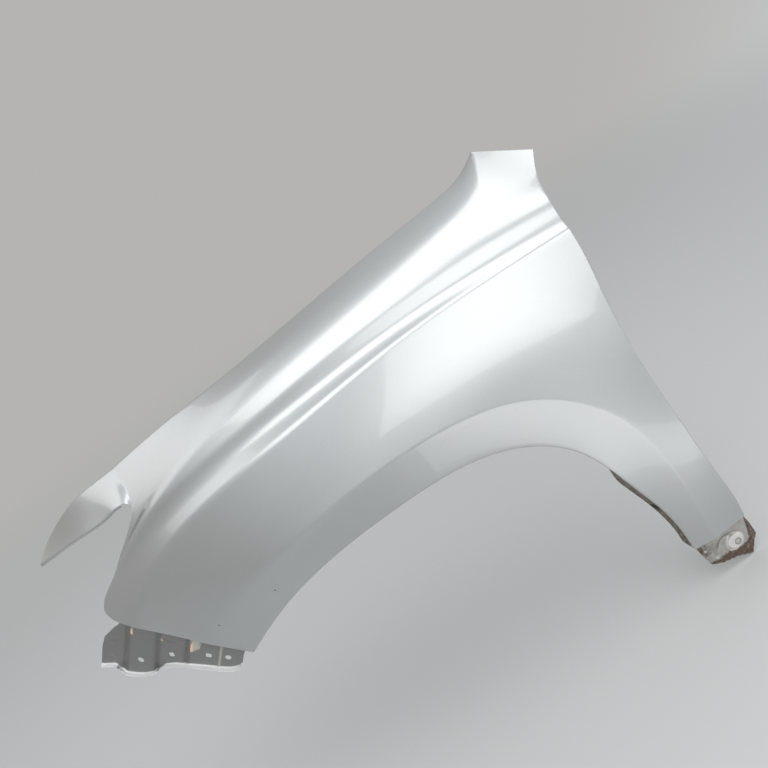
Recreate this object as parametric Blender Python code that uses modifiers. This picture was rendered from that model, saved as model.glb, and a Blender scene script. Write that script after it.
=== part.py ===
"""Left front fender of a car, pressed from steel sheet, with the brackets welded to it.

Metres. X runs to the rear of the car, Z is up, and the outer face looks towards -Y. The meshes are
drawn about the wheel centre, and the empty that carries them puts the bolt seat of the hood ledge
at the origin.
"""

import math

import bmesh
import bpy
import numpy as np
from mathutils import Matrix, Vector

# Sheet
SHEET = 0.0008
BRACKET_SHEET = 0.0012
WELD_GAP = 0.0003

# Style lines of the outer skin as (x, y inboard, z), each from the front of the car to the rear
ARCH_EDGE = (
    (-0.270, 0.054, 0.295), (-0.200, 0.038, 0.334), (-0.105, 0.026, 0.359), (0.020, 0.022, 0.366),
    (0.130, 0.022, 0.358), (0.215, 0.022, 0.329), (0.283, 0.022, 0.270), (0.319, 0.024, 0.198),
    (0.344, 0.029, 0.134), (0.362, 0.033, 0.078), (0.371, 0.037, 0.021), (0.372, 0.038, 0.0045),
)
FLARE_CREASE = (
    (-0.316, 0.068, 0.340), (-0.235, 0.036, 0.382), (-0.150, 0.012, 0.408), (-0.060, 0.002, 0.426),
    (0.050, 0.000, 0.433), (0.150, 0.000, 0.425), (0.240, 0.002, 0.397), (0.310, 0.004, 0.346),
    (0.360, 0.008, 0.275), (0.388, 0.014, 0.190), (0.401, 0.020, 0.100), (0.405, 0.026, 0.0065),
)
SIDE_LINE = (
    (-0.351, 0.086, 0.374), (-0.260, 0.048, 0.420), (-0.150, 0.021, 0.456), (0.000, 0.012, 0.486),
    (0.150, 0.011, 0.493), (0.270, 0.0125, 0.477), (0.360, 0.018, 0.450), (0.4295, 0.025, 0.420),
)
DOOR_EDGE = (
    (0.4295, 0.025, 0.420), (0.4290, 0.023, 0.378), (0.4325, 0.021, 0.299), (0.4412, 0.021, 0.214),
    (0.4485, 0.022, 0.148), (0.4590, 0.026, 0.082), (0.4650, 0.029, 0.040), (0.4664, 0.032, 0.004),
)
SHOULDER_CREASE = (
    (-0.386, 0.106, 0.408), (-0.330, 0.085, 0.466), (-0.250, 0.060, 0.505), (-0.150, 0.040, 0.530),
    (0.000, 0.032, 0.549), (0.150, 0.030, 0.561), (0.300, 0.031, 0.561), (0.4355, 0.034, 0.554),
)
VALLEY_LINE = (
    (-0.414, 0.122, 0.437), (-0.345, 0.101, 0.486), (-0.260, 0.076, 0.522), (-0.150, 0.056, 0.545),
    (0.000, 0.047, 0.562), (0.150, 0.044, 0.573), (0.300, 0.043, 0.573), (0.4365, 0.043, 0.567),
)
VALLEY_TOP = (
    (-0.352, 0.117, 0.503), (-0.270, 0.088, 0.546), (-0.150, 0.068, 0.573), (0.000, 0.057, 0.591),
    (0.150, 0.053, 0.600), (0.300, 0.052, 0.602), (0.439, 0.054, 0.597),
)
CROWN_LINE = (
    (-0.288, 0.116, 0.560), (-0.210, 0.104, 0.588), (-0.100, 0.092, 0.611), (0.050, 0.085, 0.630),
    (0.200, 0.083, 0.642), (0.350, 0.085, 0.647), (0.457, 0.090, 0.634),
)
SPUR_ROOT = -0.290
HOOD_EDGE = (
    (SPUR_ROOT, 0.168, 0.610), (-0.200, 0.154, 0.625), (-0.100, 0.146, 0.635), (0.020, 0.142, 0.648),
    (0.150, 0.140, 0.663), (0.270, 0.142, 0.674), (0.335, 0.145, 0.680), (0.378, 0.148, 0.690),
    (0.410, 0.150, 0.708),
)
TAB_CORNER = (0.4825, 0.118, 0.664)
SPUR_LENGTH = 0.186
SPUR_LOWER = (
    (-0.288, 0.116, 0.560), (-0.291, 0.118, 0.568), (-0.301, 0.123, 0.571), (-0.322, 0.132, 0.567),
    (SPUR_ROOT - 0.43 * SPUR_LENGTH, 0.156, 0.559), (SPUR_ROOT - 0.75 * SPUR_LENGTH, 0.190, 0.552),
    (SPUR_ROOT - 0.957 * SPUR_LENGTH, 0.214, 0.546),
)
SPUR_UPPER = (
    (SPUR_ROOT, 0.168, 0.610), (SPUR_ROOT - 0.27 * SPUR_LENGTH, 0.184, 0.604),
    (SPUR_ROOT - 0.54 * SPUR_LENGTH, 0.206, 0.591), (SPUR_ROOT - 0.75 * SPUR_LENGTH, 0.228, 0.573),
    (SPUR_ROOT - 0.90 * SPUR_LENGTH, 0.246, 0.557), (SPUR_ROOT - SPUR_LENGTH, 0.254, 0.545),
)
HOOD_SHARE = 0.88

# Rounding of the two creases, half its width at the front of the car and at the rear
SHOULDER_ROUND = (0.011, 0.004)
FLARE_ROUND = (0.014, 0.0025)

# Folded flanges: width, and how far each leans out from square to the skin
FOLD_RADIUS = 0.0015
LIP_WIDTH = 0.020
LIP_REAR_WIDTH = 0.030
LIP_LEAN = math.radians(4)
BUMPER_FLANGE = 0.020
NOTCH_FLANGE = 0.008
NOTCH_LEAN = math.radians(12)
ROCKER_FLANGE = 0.028
DOOR_FLANGE = 0.018

# Hood ledge: the drip wall below the hood edge and the flange with its bolt pads
HOOD_ROUND = 0.006
DRIP_WALL = 0.020
LEDGE_BEND = 0.0025
LEDGE_WIDTH = 0.014
PAD_DEPTH = 0.014
PAD_HALF_LENGTH = 0.018
PAD_SHOULDER = 0.009
PAD_STATIONS = (-0.200, 0.020, 0.210, 0.350)
SEAT_STATION = 1
BOLT_HOLE = 0.009
HOLE_FROM_EDGE = 0.012
SEAT_FROM_HOLE = 0.011

# Clip holes in the arch lip, as shares of its length
CLIP_HOLE = 0.007
CLIP_SHARES = (0.06, 0.23, 0.40, 0.57, 0.74)
BROKEN_CLIP_SHARE = 0.885

# Bumper side bracket, drawn along the bumper line (first number) and down from it (second)
BRACKET_START = 0.012
BRACKET_END = ((0.000, 0.1988), (0.0385, 0.2225), (0.0585, 0.2255), (0.095, 0.2258))
BRACKET_RECESS = 0.009
BRACKET_TOP_FLANGE = 0.009
BRACKET_SLOPE = 0.40
BRACKET_DEPTHS = (
    (0.012, 0.021), (0.0165, 0.028), (0.025, 0.0335), (0.034, 0.036), (0.047, 0.0375), (0.063, 0.0395),
    (0.088, 0.044), (0.100, 0.050), (0.112, 0.053), (0.127, 0.060), (0.1355, 0.070), (0.144, 0.077),
    (0.156, 0.0845), (0.170, 0.0895), (0.186, 0.0925), (0.1925, 0.0905), (0.1985, 0.0865),
    (0.206, 0.0865), (0.2145, 0.090), (0.2258, 0.095),
)
JOGGLES = ((0.0935, 0.0045), (0.139, -0.0045), (0.1865, 0.0045))
JOGGLE_WIDTH = 0.009
RIB_STATION = 0.045
RIB_HEIGHT = 0.0020
BRACKET_LIP = 0.009
BRACKET_LIP_DROP = 0.003
ROUND_HOLES = ((0.0335, 0.0156, 0.0090), (0.1634, 0.0606, 0.0100))
SQUARE_HOLES = ((0.0617, 0.0191, 0.0085), (0.1164, 0.0373, 0.0085))

# Rocker bracket below the rear corner, its outline as (x, z)
FOOT_RECESS = 0.021
FOOT_DROP = 0.080
FOOT_TOP_FLANGE = 0.006
FOOT_TOP = ((0.378, -0.0035), (0.465, -0.0045))
FOOT_LEFT = ((0.378, -0.0035), (0.380, -0.014), (0.384, -0.034), (0.389, 0.030 - FOOT_DROP))
FOOT_RIGHT = ((0.465, -0.0045), (0.471, -0.016), (0.474, -0.036), (0.4745, 0.020 - FOOT_DROP))
FOOT_BOTTOM = (
    FOOT_LEFT[-1], (0.410, 0.023 - FOOT_DROP), (0.434, 0.015 - FOOT_DROP), (0.461, -FOOT_DROP), FOOT_RIGHT[-1],
)
FOOT_HOLE = (0.446, -0.042)
FOOT_HOLE_SIZE = 0.008
RING_RADII = (0.017, 0.013)
RING_HEIGHT = 0.0014
DISH_CENTRE = (0.426, -0.035)
DISH_RADII = (0.031, 0.020)
DISH_DEPTH = 0.0035
DISH_STEEPNESS = 2.2
RING_STEEPNESS = 2.5
FOOT_PIN_HOLE = (0.389, -0.024)
FOOT_PIN_HOLE_SIZE = 0.005
FOOT_SIDE = 0.012
FOOT_BEND = 0.0025

# Hinge pillar bracket behind the top of the door edge
PILLAR_HEIGHTS = (0.470, 0.540)
PILLAR_WEB = 0.034
PILLAR_FOOT = 0.026
PILLAR_OVERLAP = 0.012
PILLAR_HOLE = 0.009

# Broken push clip left in the arch lip
CLIP_HEAD = 0.015
CLIP_HEAD_THICKNESS = 0.0022
CLIP_SHANK = 0.0062
CLIP_SHANK_LENGTH = 0.010
CLIP_GAP = 0.0007

# Mesh steps
COLUMNS = 44
LEG_COLUMNS = 14
SPUR_COLUMNS = 14
LEG_SHARES = (0.760, 0.685)
SKIN_STEPS = (3, 3, 4, 2, 3, 3, 3)

UP = np.array((0.0, 0.0, 1.0))
INBOARD = np.array((0.0, 1.0, 0.0))
DOWN_THE_BRACKET = np.array((-0.636, 0.0, -0.772))


def unit(vectors):
    """The vectors, each with length one."""
    return vectors / np.linalg.norm(vectors, axis=-1, keepdims=True)


def square_to(vectors, directions):
    """The vectors without their share along the directions, each with length one."""
    return unit(vectors - (vectors * directions).sum(axis=-1, keepdims=True) * directions)


def lengths_along(points):
    """Distance of each point from the first, along the line through them."""
    return np.concatenate([[0.0], np.cumsum(np.linalg.norm(np.diff(points, axis=0), axis=1))])


def read_line(at, knots, values):
    """The rows of values, which belong to knots, read at other places."""
    return np.stack([np.interp(at, knots, values[:, k]) for k in range(values.shape[1])], axis=-1)


def curve_through(points, shares):
    """A natural cubic spline through the points, read at shares of its length."""
    points = np.asarray(points, float)
    knots = lengths_along(points)
    step = np.diff(knots)
    matrix = np.eye(len(points))
    right = np.zeros_like(points)
    for i in range(1, len(points) - 1):
        matrix[i, i - 1 : i + 2] = step[i - 1], 2 * (step[i - 1] + step[i]), step[i]
        right[i] = 6 * ((points[i + 1] - points[i]) / step[i] - (points[i] - points[i - 1]) / step[i - 1])
    bend = np.linalg.solve(matrix, right)
    at = np.asarray(shares, float) * knots[-1]
    i = np.clip(np.searchsorted(knots, at, side="right") - 1, 0, len(step) - 1)
    width = step[i][:, None]
    b = (at - knots[i])[:, None] / width
    a = 1 - b
    cubic = ((a**3 - a) * bend[i] + (b**3 - b) * bend[i + 1]) * width**2 / 6
    return a * points[i] + b * points[i + 1] + cubic


def polyline(points, shares):
    """Points at shares of the length of a line with straight segments."""
    points = np.asarray(points, float)
    knots = lengths_along(points)
    return read_line(np.asarray(shares, float) * knots[-1], knots, points)


def smooth_step(x):
    """Rises from 0 to 1 between x = 0 and x = 1, level at both ends."""
    x = np.clip(x, 0.0, 1.0)
    return x * x * (3 - 2 * x)


def speeds(lines):
    """Unit-speed directions of every section at each style line, from the lines on either side."""
    chords = np.diff(lines, axis=0)
    lengths = np.linalg.norm(chords, axis=-1, keepdims=True)
    slopes = chords / lengths
    inner = (slopes[:-1] * lengths[1:] + slopes[1:] * lengths[:-1]) / (lengths[1:] + lengths[:-1])
    first = 1.5 * slopes[0] - 0.5 * inner[0] if len(inner) else slopes[0]
    last = 1.5 * slopes[-1] - 0.5 * inner[-1] if len(inner) else slopes[-1]
    return np.concatenate([[first], inner, [last]])


def between(start, end, speed_start, speed_end, share):
    """Points on the Hermite curves from start to end, at a share that may differ by column."""
    length = np.linalg.norm(end - start, axis=-1, keepdims=True)
    s = np.broadcast_to(np.asarray(share, float), length.shape[:-1])[..., None]
    return (
        (2 * s**3 - 3 * s**2 + 1) * start
        + (s**3 - 2 * s**2 + s) * length * speed_start
        + (3 * s**2 - 2 * s**3) * end
        + (s**3 - s**2) * length * speed_end
    )


def rounded_crease(before, crease, after, shares):
    """Rows of a parabola that leaves one face at before and meets the other at after."""
    return [(1 - w) ** 2 * before + 2 * w * (1 - w) * crease + w**2 * after for w in shares]


def hood_line(u):
    """The hood edge at column shares u, with the straight top of the rear tab."""
    edge = curve_through(HOOD_EDGE, np.clip(u / HOOD_SHARE, 0, 1))
    on_tab = np.clip((u - HOOD_SHARE) / (1 - HOOD_SHARE), 0, 1)[:, None]
    return edge + on_tab * (np.array(TAB_CORNER) - HOOD_EDGE[-1])


def column_shares(count):
    """Even shares from front to rear, moved so that columns fall on the edges of the bolt pads."""
    u = np.linspace(0, 1, count + 1)
    fine = np.linspace(0, HOOD_SHARE, 2000)
    x = hood_line(fine)[:, 0]
    u[np.abs(u - HOOD_SHARE).argmin()] = HOOD_SHARE
    outer = PAD_HALF_LENGTH + PAD_SHOULDER
    offsets = np.array((-outer, -PAD_HALF_LENGTH, 0, PAD_HALF_LENGTH, outer))
    for station in PAD_STATIONS:
        marks = np.interp(station + offsets, x, fine)
        middle = np.abs(u - marks[2]).argmin()
        u[middle - 2 : middle + 3] = marks
    return u


def strips(lines, plan, steps, crease_shares):
    """Rows of the surface through the style lines, and the row of each line.

    Each strip of the plan has its speeds at both lines, and how far its crease is rounded off.
    """
    rows = []
    line_rows = [0]
    for k, (count, (speed_a, speed_b, round_a, round_b)) in enumerate(zip(steps, plan)):
        start, end = lines[k], lines[k + 1]
        length = np.linalg.norm(end - start, axis=-1)
        first = 0 * length if round_a is None else round_a / length
        last = 1 + 0 * length if round_b is None else 1 - round_b / length
        strip = [
            between(start, end, speed_a, speed_b, first + (last - first) * j / count)
            for j in range(count + 1)
        ]
        if round_a is not None and rows:
            bend = rounded_crease(rows[-1], start, strip[0], crease_shares)
            line_rows[-1] = len(rows) + len(bend) // 2
            rows += bend + strip
        else:
            rows += strip[1:] if rows else strip
        line_rows.append(len(rows) - 1)
    return np.array(rows), line_rows


def skin_blocks(v, leg_columns, steps, crease_shares):
    """The outer skin as two blocks of rows that share the side line.

    The lower one runs from the arch edge to the side line and on down the leg to the door edge, the
    upper one from the side line to the hood edge. v holds the column shares of the upper one.
    Also returns the rows of the style lines, and the direction in which the crown leaves its line.
    """
    leg = np.linspace(0, 1, leg_columns + 1)[1:]
    count = len(v)
    arch_share, flare_share = LEG_SHARES
    arch = curve_through(ARCH_EDGE, np.concatenate([v * arch_share, arch_share + leg * (1 - arch_share)]))
    flare = curve_through(FLARE_CREASE, np.concatenate([v * flare_share, flare_share + leg * (1 - flare_share)]))
    side = np.concatenate([curve_through(SIDE_LINE, v), curve_through(DOOR_EDGE, leg)])
    style = (SHOULDER_CREASE, VALLEY_LINE, VALLEY_TOP, CROWN_LINE)
    upper_lines = np.array([side[:count]] + [curve_through(line, v) for line in style] + [hood_line(v)])
    outward = smooth_step(leg * 1.5)[:, None]
    ahead = (1 - outward) * (upper_lines[1, -1] - side[count - 1]) + outward * (side[count:] - flare[count:])
    beyond = np.concatenate([upper_lines[1], side[count:] + ahead])
    flare_speed = speeds(np.array([arch, flare]))
    low_speed = speeds(np.array([flare, side, beyond]))
    upper_speed = speeds(upper_lines[1:])
    shoulder = low_speed[2][:count]
    edge = smooth_step((v - 0.80) / 0.20)[:, None]
    leave = low_speed[1][:count] * (1 - edge) + unit(upper_lines[1] - upper_lines[0]) * edge
    fade = smooth_step(v / 0.70)
    shoulder_round = SHOULDER_ROUND[0] + (SHOULDER_ROUND[1] - SHOULDER_ROUND[0]) * fade
    fade = np.concatenate([fade, np.ones(leg_columns)])
    flare_round = FLARE_ROUND[0] + (FLARE_ROUND[1] - FLARE_ROUND[0]) * fade
    lower, lower_at = strips(
        (arch, flare, side),
        ((*flare_speed, None, flare_round), (low_speed[0], low_speed[1], flare_round, None)),
        steps[:2],
        crease_shares,
    )
    plan = [(leave, shoulder, None, shoulder_round)]
    plan.append((upper_speed[0], upper_speed[1], np.minimum(shoulder_round, 0.006), None))
    plan += [(upper_speed[k], upper_speed[k + 1], None, None) for k in (1, 2, 3)]
    upper, upper_at = strips(upper_lines, plan, steps[2:], crease_shares)
    return lower, upper, lower_at, upper_at, upper_speed[3][0]


def spur_rows(columns, count, first_speed):
    """The spur that runs forward above the headlamp opening, as rows from its lower edge up."""
    u = np.linspace(0, 1, columns + 1)
    lower = curve_through(SPUR_LOWER, u**1.7)
    upper = curve_through(SPUR_UPPER, u**1.3)
    chord = unit(upper - lower)
    blend = smooth_step(u * 3)[:, None]
    speed = first_speed * (1 - blend) + chord * blend
    end_speed = 1.5 * chord - 0.5 * speed
    return np.array([between(lower, upper, speed, end_speed, k / count) for k in range(count + 1)])


def inward_normals(rows):
    """Unit normals of a grid of rows, on the inboard side."""
    normals = unit(np.cross(np.gradient(rows, axis=1), np.gradient(rows, axis=0)))
    return normals * np.sign((normals * (0, 1, -0.3)).sum(axis=-1, keepdims=True))


def edge_line(edge, inner, normals):
    """A sheet's edge with its frame: at each point the direction off the sheet, and the inward normal."""
    tangent = unit(np.gradient(edge, axis=0))
    normals = square_to(normals, tangent)
    return edge, square_to(square_to(edge - inner, tangent), normals), normals


def straight_edge_line(edge, inner):
    """An edge whose flange is folded straight inboard, with its frame."""
    tangent = unit(np.gradient(edge, axis=0) * (1, 0, 1))
    return edge, square_to((edge - inner) * (1, 0, 1), tangent), np.tile(INBOARD, (len(edge), 1))


def folded_flange(edge, away, normals, width, lean, steps=1, radius=FOLD_RADIUS):
    """Rows of a flange folded inboard from an edge, after a bend of the radius."""
    turn = math.pi / 2 - lean
    rows = [edge]
    for share in (0.34, 0.67, 1.0):
        angle = turn * share
        rows.append(edge + radius * (math.sin(angle) * away + (1 - math.cos(angle)) * normals))
    direction = math.cos(turn) * away + math.sin(turn) * normals
    width = np.broadcast_to(np.asarray(width, float), len(edge))[:, None]
    for k in range(1, steps + 1):
        rows.append(rows[3] + direction * width * k / steps)
    return np.array(rows)


def hood_ledge(edge, inner):
    """Rows from the hood edge over its bend, down the drip wall and inboard along the ledge."""
    tangent = unit(np.gradient(edge, axis=0))
    inboard = unit(np.cross(UP, tangent))
    inboard *= np.sign(inboard[:, 1:2])
    start = square_to(edge - inner, tangent)
    tilt = np.arctan2(start[:, 2], (start * inboard).sum(axis=-1))[:, None]
    rows = [edge]
    for share in (0.25, 0.5, 0.75, 1.0):
        angle = tilt + (-math.pi / 2 - tilt) * share
        across = (np.sin(tilt) - np.sin(angle)) * inboard
        rows.append(edge + HOOD_ROUND * (across + (np.cos(angle) - np.cos(tilt)) * UP))
    x = edge[:, 0]
    read_at = x.copy()
    pads = np.zeros_like(x)
    for station in PAD_STATIONS:
        off = np.abs(x - station) - PAD_HALF_LENGTH
        pads = np.maximum(pads, 1 - np.clip(off / PAD_SHOULDER, 0, 1))
        read_at += (station - x) * (1 - smooth_step(off / (2 * PAD_HALF_LENGTH)))
    order = np.argsort(x)
    height = np.interp(read_at, x[order], edge[order, 2]) - HOOD_ROUND - DRIP_WALL
    wall = rows[-1].copy()
    wall[:, 2] = height + LEDGE_BEND
    bend = wall + 0.29 * LEDGE_BEND * inboard
    bend[:, 2] = height + 0.29 * LEDGE_BEND
    foot = wall + LEDGE_BEND * inboard
    foot[:, 2] = height
    taper = 1 - 0.65 * smooth_step((-0.33 - x) / 0.12)
    reach = (LEDGE_WIDTH * taper + PAD_DEPTH * pads)[:, None] * INBOARD
    return np.array(rows + [wall, bend, foot, foot + reach / 2, foot + reach])


def joined(*runs):
    """The points of several runs, one after the other."""
    return np.concatenate(runs)


def panel_surfaces():
    """Every surface of the outer panel, with the edges and flanges that other pieces follow."""
    v = column_shares(COLUMNS)
    low, up, low_at, up_at, speed = skin_blocks(v, LEG_COLUMNS, SKIN_STEPS, (0.5,))
    spur = spur_rows(SPUR_COLUMNS, SKIN_STEPS[-1], speed)
    valley, crown = up_at[2], up_at[4]
    spur[:, 0] = up[crown:, 0]
    low_normals, up_normals, spur_normals = (inward_normals(rows) for rows in (low, up, spur))

    knots = lengths_along(low[0])
    wide = smooth_step((knots / knots[-1] - 0.70) / 0.12)
    lip_width = LIP_WIDTH + (LIP_REAR_WIDTH - LIP_WIDTH) * wide
    lip = folded_flange(*edge_line(low[0], low[1], low_normals[0]), lip_width, LIP_LEAN, steps=2)

    bumper_line = edge_line(
        joined(low[:, 0], up[1 : valley + 1, 0]),
        joined(low[:, 1], up[1 : valley + 1, 1]),
        joined(low_normals[:, 0], up_normals[1 : valley + 1, 0]),
    )
    bumper = folded_flange(*(field[:-1] for field in bumper_line), BUMPER_FLANGE, 0.0)

    notch_line = edge_line(
        joined(up[valley : crown + 1, 0], spur[0, 1:]),
        joined(up[valley : crown + 1, 1], spur[1, 1:]),
        joined(up_normals[valley : crown + 1, 0], spur_normals[0, 1:]),
    )
    arc = crown - valley
    notch = folded_flange(*(field[1:arc] for field in notch_line), NOTCH_FLANGE, NOTCH_LEAN)
    beak = folded_flange(*(field[arc + 3 :] for field in notch_line), NOTCH_FLANGE, NOTCH_LEAN)

    rocker_line = straight_edge_line(low[:, -1], low[:, -2])
    rocker = folded_flange(*rocker_line, ROCKER_FLANGE, 0.0)

    leg = slice(len(low[0]) - 1, COLUMNS, -1)
    door_line = straight_edge_line(
        joined(low[-1, leg], up[: crown + 1, -1]), joined(low[-2, leg], up[: crown + 1, -2])
    )
    door = folded_flange(*door_line, DOOR_FLANGE, 0.0)

    tab = np.abs(v - HOOD_SHARE).argmin()
    edge = joined(spur[-1, :0:-1], up[-1, : tab + 1])
    ledge = hood_ledge(edge, joined(spur[-2, :0:-1], up[-2, : tab + 1]))
    lines = {"bumper": bumper_line, "rocker": rocker_line, "door": door_line}
    return [low, up, spur, lip, bumper, notch, beak, rocker, door, ledge], lines, lip, ledge


def along(line, stations):
    """An edge and its frame, read at distances along it; past its end it goes straight on."""
    knots = lengths_along(line[0])
    edge, away, inward = (read_line(stations, knots, field) for field in line)
    past = np.maximum(stations - knots[-1], 0)[:, None]
    return edge + past * unit(line[0][-1] - line[0][-2]), unit(away), unit(inward)


def weld_flange(line, stations, recess, width):
    """Rows of a bracket's top flange, lying on the outside of a folded flange, and its bend."""
    edge, away, inward = along(line, stations)
    clear = FOLD_RADIUS + WELD_GAP
    return [
        edge + inward * (recess + width) + away * clear,
        edge + inward * (recess + 0.0030) + away * clear,
        edge + inward * (recess + 0.0010) + away * (clear + 0.0008),
        edge + inward * recess + away * (clear + 0.0030),
    ]


def bumper_bracket(line):
    """The bumper side bracket: weld flange, web with its joggled pads, and the lip turned outboard."""
    marks = [BRACKET_START, 0.0165, 0.021, 0.028, 0.035, 0.054, 0.062, 0.070, 0.080, 0.105, 0.1115]
    marks += [0.1165, 0.1215, 0.128, 0.150, 0.157, 0.1635, 0.170, 0.176, 0.1955, 0.200, 0.206, 0.2145]
    marks += [BRACKET_END[-1][1]]
    marks += [RIB_STATION + off for off in (-0.0030, 0.0, 0.0030)]
    for station, _ in JOGGLES:
        marks += [station - JOGGLE_WIDTH / 2, station + JOGGLE_WIDTH / 2]
    nominal = np.array(sorted(marks))
    fixed = JOGGLES[-1][0] + JOGGLE_WIDTH / 2
    share = np.clip((nominal - fixed) / (nominal[-1] - fixed), 0, 1)
    depth, end = np.array(BRACKET_END).T
    low = np.interp(nominal, *np.array(BRACKET_DEPTHS).T)
    offset = -RIB_HEIGHT * (np.abs(nominal - RIB_STATION) < 0.001)
    for station, step in JOGGLES:
        offset += step * np.clip((nominal - station) / JOGGLE_WIDTH + 0.5, 0, 1)
    rows = weld_flange(line, nominal + (end[0] - end[-1]) * share, BRACKET_RECESS, BRACKET_TOP_FLANGE)
    first = 0.0095
    for k in range(8):
        fall = first + (low - BRACKET_LIP_DROP - first) * k / 7
        edge = along(line, nominal + (np.interp(fall, depth, end) - end[-1]) * share)[0]
        height = BRACKET_RECESS + 0.003 + BRACKET_SLOPE * (fall - 0.004) + offset * min(1.0, k / 2)
        rows.append(edge + DOWN_THE_BRACKET * fall[:, None] + INBOARD * height[:, None])
    web_end = rows[-1]
    rows.append(web_end + 0.0016 * DOWN_THE_BRACKET - INBOARD * 0.0012)
    rows.append(web_end + BRACKET_LIP_DROP * DOWN_THE_BRACKET - INBOARD * BRACKET_LIP)
    return np.array(rows)


def rocker_bracket(line):
    """The rocker bracket: weld flange, dished web with its flat bolt seat, and the side return."""
    across = np.array((0, 0.06, 0.14, 0.24, 0.34, 0.43, 0.51, 0.59, 0.67, 0.75, 0.83, 0.91, 1.0))
    top = polyline(FOOT_TOP, across)
    bottom = polyline(FOOT_BOTTOM, across)
    stations = np.interp(top[:, 0], line[0][:, 0], lengths_along(line[0]))
    rows = weld_flange(line, stations, FOOT_RECESS, FOOT_TOP_FLANGE)
    seat = np.interp(FOOT_HOLE[0], line[0][:, 0], line[0][:, 1]) + FOOT_RECESS - RING_HEIGHT
    down = np.linspace(0, 1, 13)
    c = across[:, None]
    for s, start, end in zip(down, polyline(FOOT_LEFT, down), polyline(FOOT_RIGHT, down)):
        flat = (1 - s) * top + s * bottom + (1 - c) * start + c * end
        flat -= (1 - s) * ((1 - c) * top[0] + c * top[-1]) + s * ((1 - c) * bottom[0] + c * bottom[-1])
        dish = 1 - ((flat - DISH_CENTRE) ** 2 / np.square(DISH_RADII)).sum(axis=1)
        ring = 1 - ((flat - FOOT_HOLE) ** 2 / np.square(RING_RADII)).sum(axis=1)
        depth = np.interp(flat[:, 0], line[0][:, 0], line[0][:, 1]) + FOOT_RECESS
        depth += DISH_DEPTH * smooth_step(dish * DISH_STEEPNESS)
        depth += (seat - depth) * smooth_step(ring * RING_STEEPNESS)
        rows.append(np.stack([flat[:, 0], depth, flat[:, 1]], axis=-1))
    web = np.array(rows)
    edge = web[4:, -1]
    frame = edge_line(edge, web[4:, -2], inward_normals(web)[4:, -1])
    side = folded_flange(*frame, FOOT_SIDE * np.linspace(0.35, 1.0, len(edge)), 0.0, radius=FOOT_BEND)
    return web, side


def pillar_bracket(line):
    """The Z-shaped hinge pillar bracket: flange on the door edge's fold, web, and its bolt foot."""
    heights = np.linspace(*PILLAR_HEIGHTS, 6)
    order = np.argsort(line[0][:, 2])
    edge, away, inward = (read_line(heights, line[0][order, 2], field[order]) for field in line)
    away = unit(away)
    inward = unit(inward)
    clear = FOLD_RADIUS - SHEET - WELD_GAP
    fold = DOOR_FLANGE + FOLD_RADIUS
    section = (
        (fold - PILLAR_OVERLAP, 0.0),
        (fold + 0.004, 0.0),
        (fold + PILLAR_WEB - 0.003, 0.010),
        (fold + PILLAR_WEB, 0.014),
        (fold + PILLAR_WEB, 0.014 + PILLAR_FOOT / 2),
        (fold + PILLAR_WEB, 0.014 + PILLAR_FOOT),
    )
    return np.array([edge + inward * reach + away * (clear - back) for reach, back in section])


def add_grid(bm, rows):
    """Adds a grid of rows to the mesh as quads."""
    verts = [[bm.verts.new(point) for point in row] for row in rows]
    for lower, upper in zip(verts, verts[1:]):
        for i in range(len(lower) - 1):
            bm.faces.new((lower[i], lower[i + 1], upper[i + 1], upper[i]))


def object_from(bm, name, collection, parent):
    """An object made from the mesh that is being built."""
    mesh = bpy.data.meshes.new(name)
    bm.to_mesh(mesh)
    bm.free()
    obj = bpy.data.objects.new(name, mesh)
    collection.objects.link(obj)
    obj.parent = parent
    return obj


def sheet_object(name, surfaces, thickness, material, collection, parent, facing=(0, -1, 0)):
    """One pressed sheet: its surfaces welded along shared edges, its thickness away from facing."""
    bm = bmesh.new()
    for rows in surfaces:
        add_grid(bm, rows)
    bmesh.ops.remove_doubles(bm, verts=bm.verts, dist=1e-5)
    bmesh.ops.recalc_face_normals(bm, faces=bm.faces)
    widest = max(bm.faces, key=lambda face: face.calc_area())
    if widest.normal.dot(Vector(facing)) < 0:
        bmesh.ops.reverse_faces(bm, faces=bm.faces)
    obj = object_from(bm, name, collection, parent)
    obj.data.shade_smooth()
    obj.data.set_sharp_from_angle(angle=math.radians(40))
    obj.data.materials.append(material)
    solidify = obj.modifiers.new("Sheet", "SOLIDIFY")
    solidify.thickness = thickness
    solidify.offset = -1
    solidify.use_even_offset = True
    return obj


def placed(centre, direction, upright):
    """The matrix that puts Z along direction and X near upright, at centre."""
    z = Vector(direction).normalized()
    y = z.cross(Vector(upright)).normalized()
    return Matrix.Translation(Vector(centre)) @ Matrix((y.cross(z), y, z)).transposed().to_4x4()


def drill(name, place, size, collection, parent, sides=16, stretch=1.0):
    """A cutter for a round hole, or with four sides for a square one; stretch makes a slot of it."""
    bm = bmesh.new()
    if sides == 4:
        bmesh.ops.create_cube(bm, size=1.0)
        bmesh.ops.scale(bm, vec=(size, size, 0.014), verts=bm.verts)
    else:
        radius = size / 2
        bmesh.ops.create_cone(
            bm, cap_ends=True, segments=sides, radius1=radius, radius2=radius, depth=0.014
        )
        bmesh.ops.scale(bm, vec=(stretch, 1.0, 1.0), verts=bm.verts)
    bmesh.ops.transform(bm, matrix=place, verts=bm.verts)
    obj = object_from(bm, name, collection, parent)
    obj.hide_render = True
    obj.display_type = "WIRE"
    return obj


def cut(obj, cutters):
    """Cuts the collection's objects from a sheet."""
    modifier = obj.modifiers.new("Holes", "BOOLEAN")
    modifier.operation = "DIFFERENCE"
    modifier.operand_type = "COLLECTION"
    modifier.collection = cutters
    modifier.solver = "EXACT"


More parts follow.
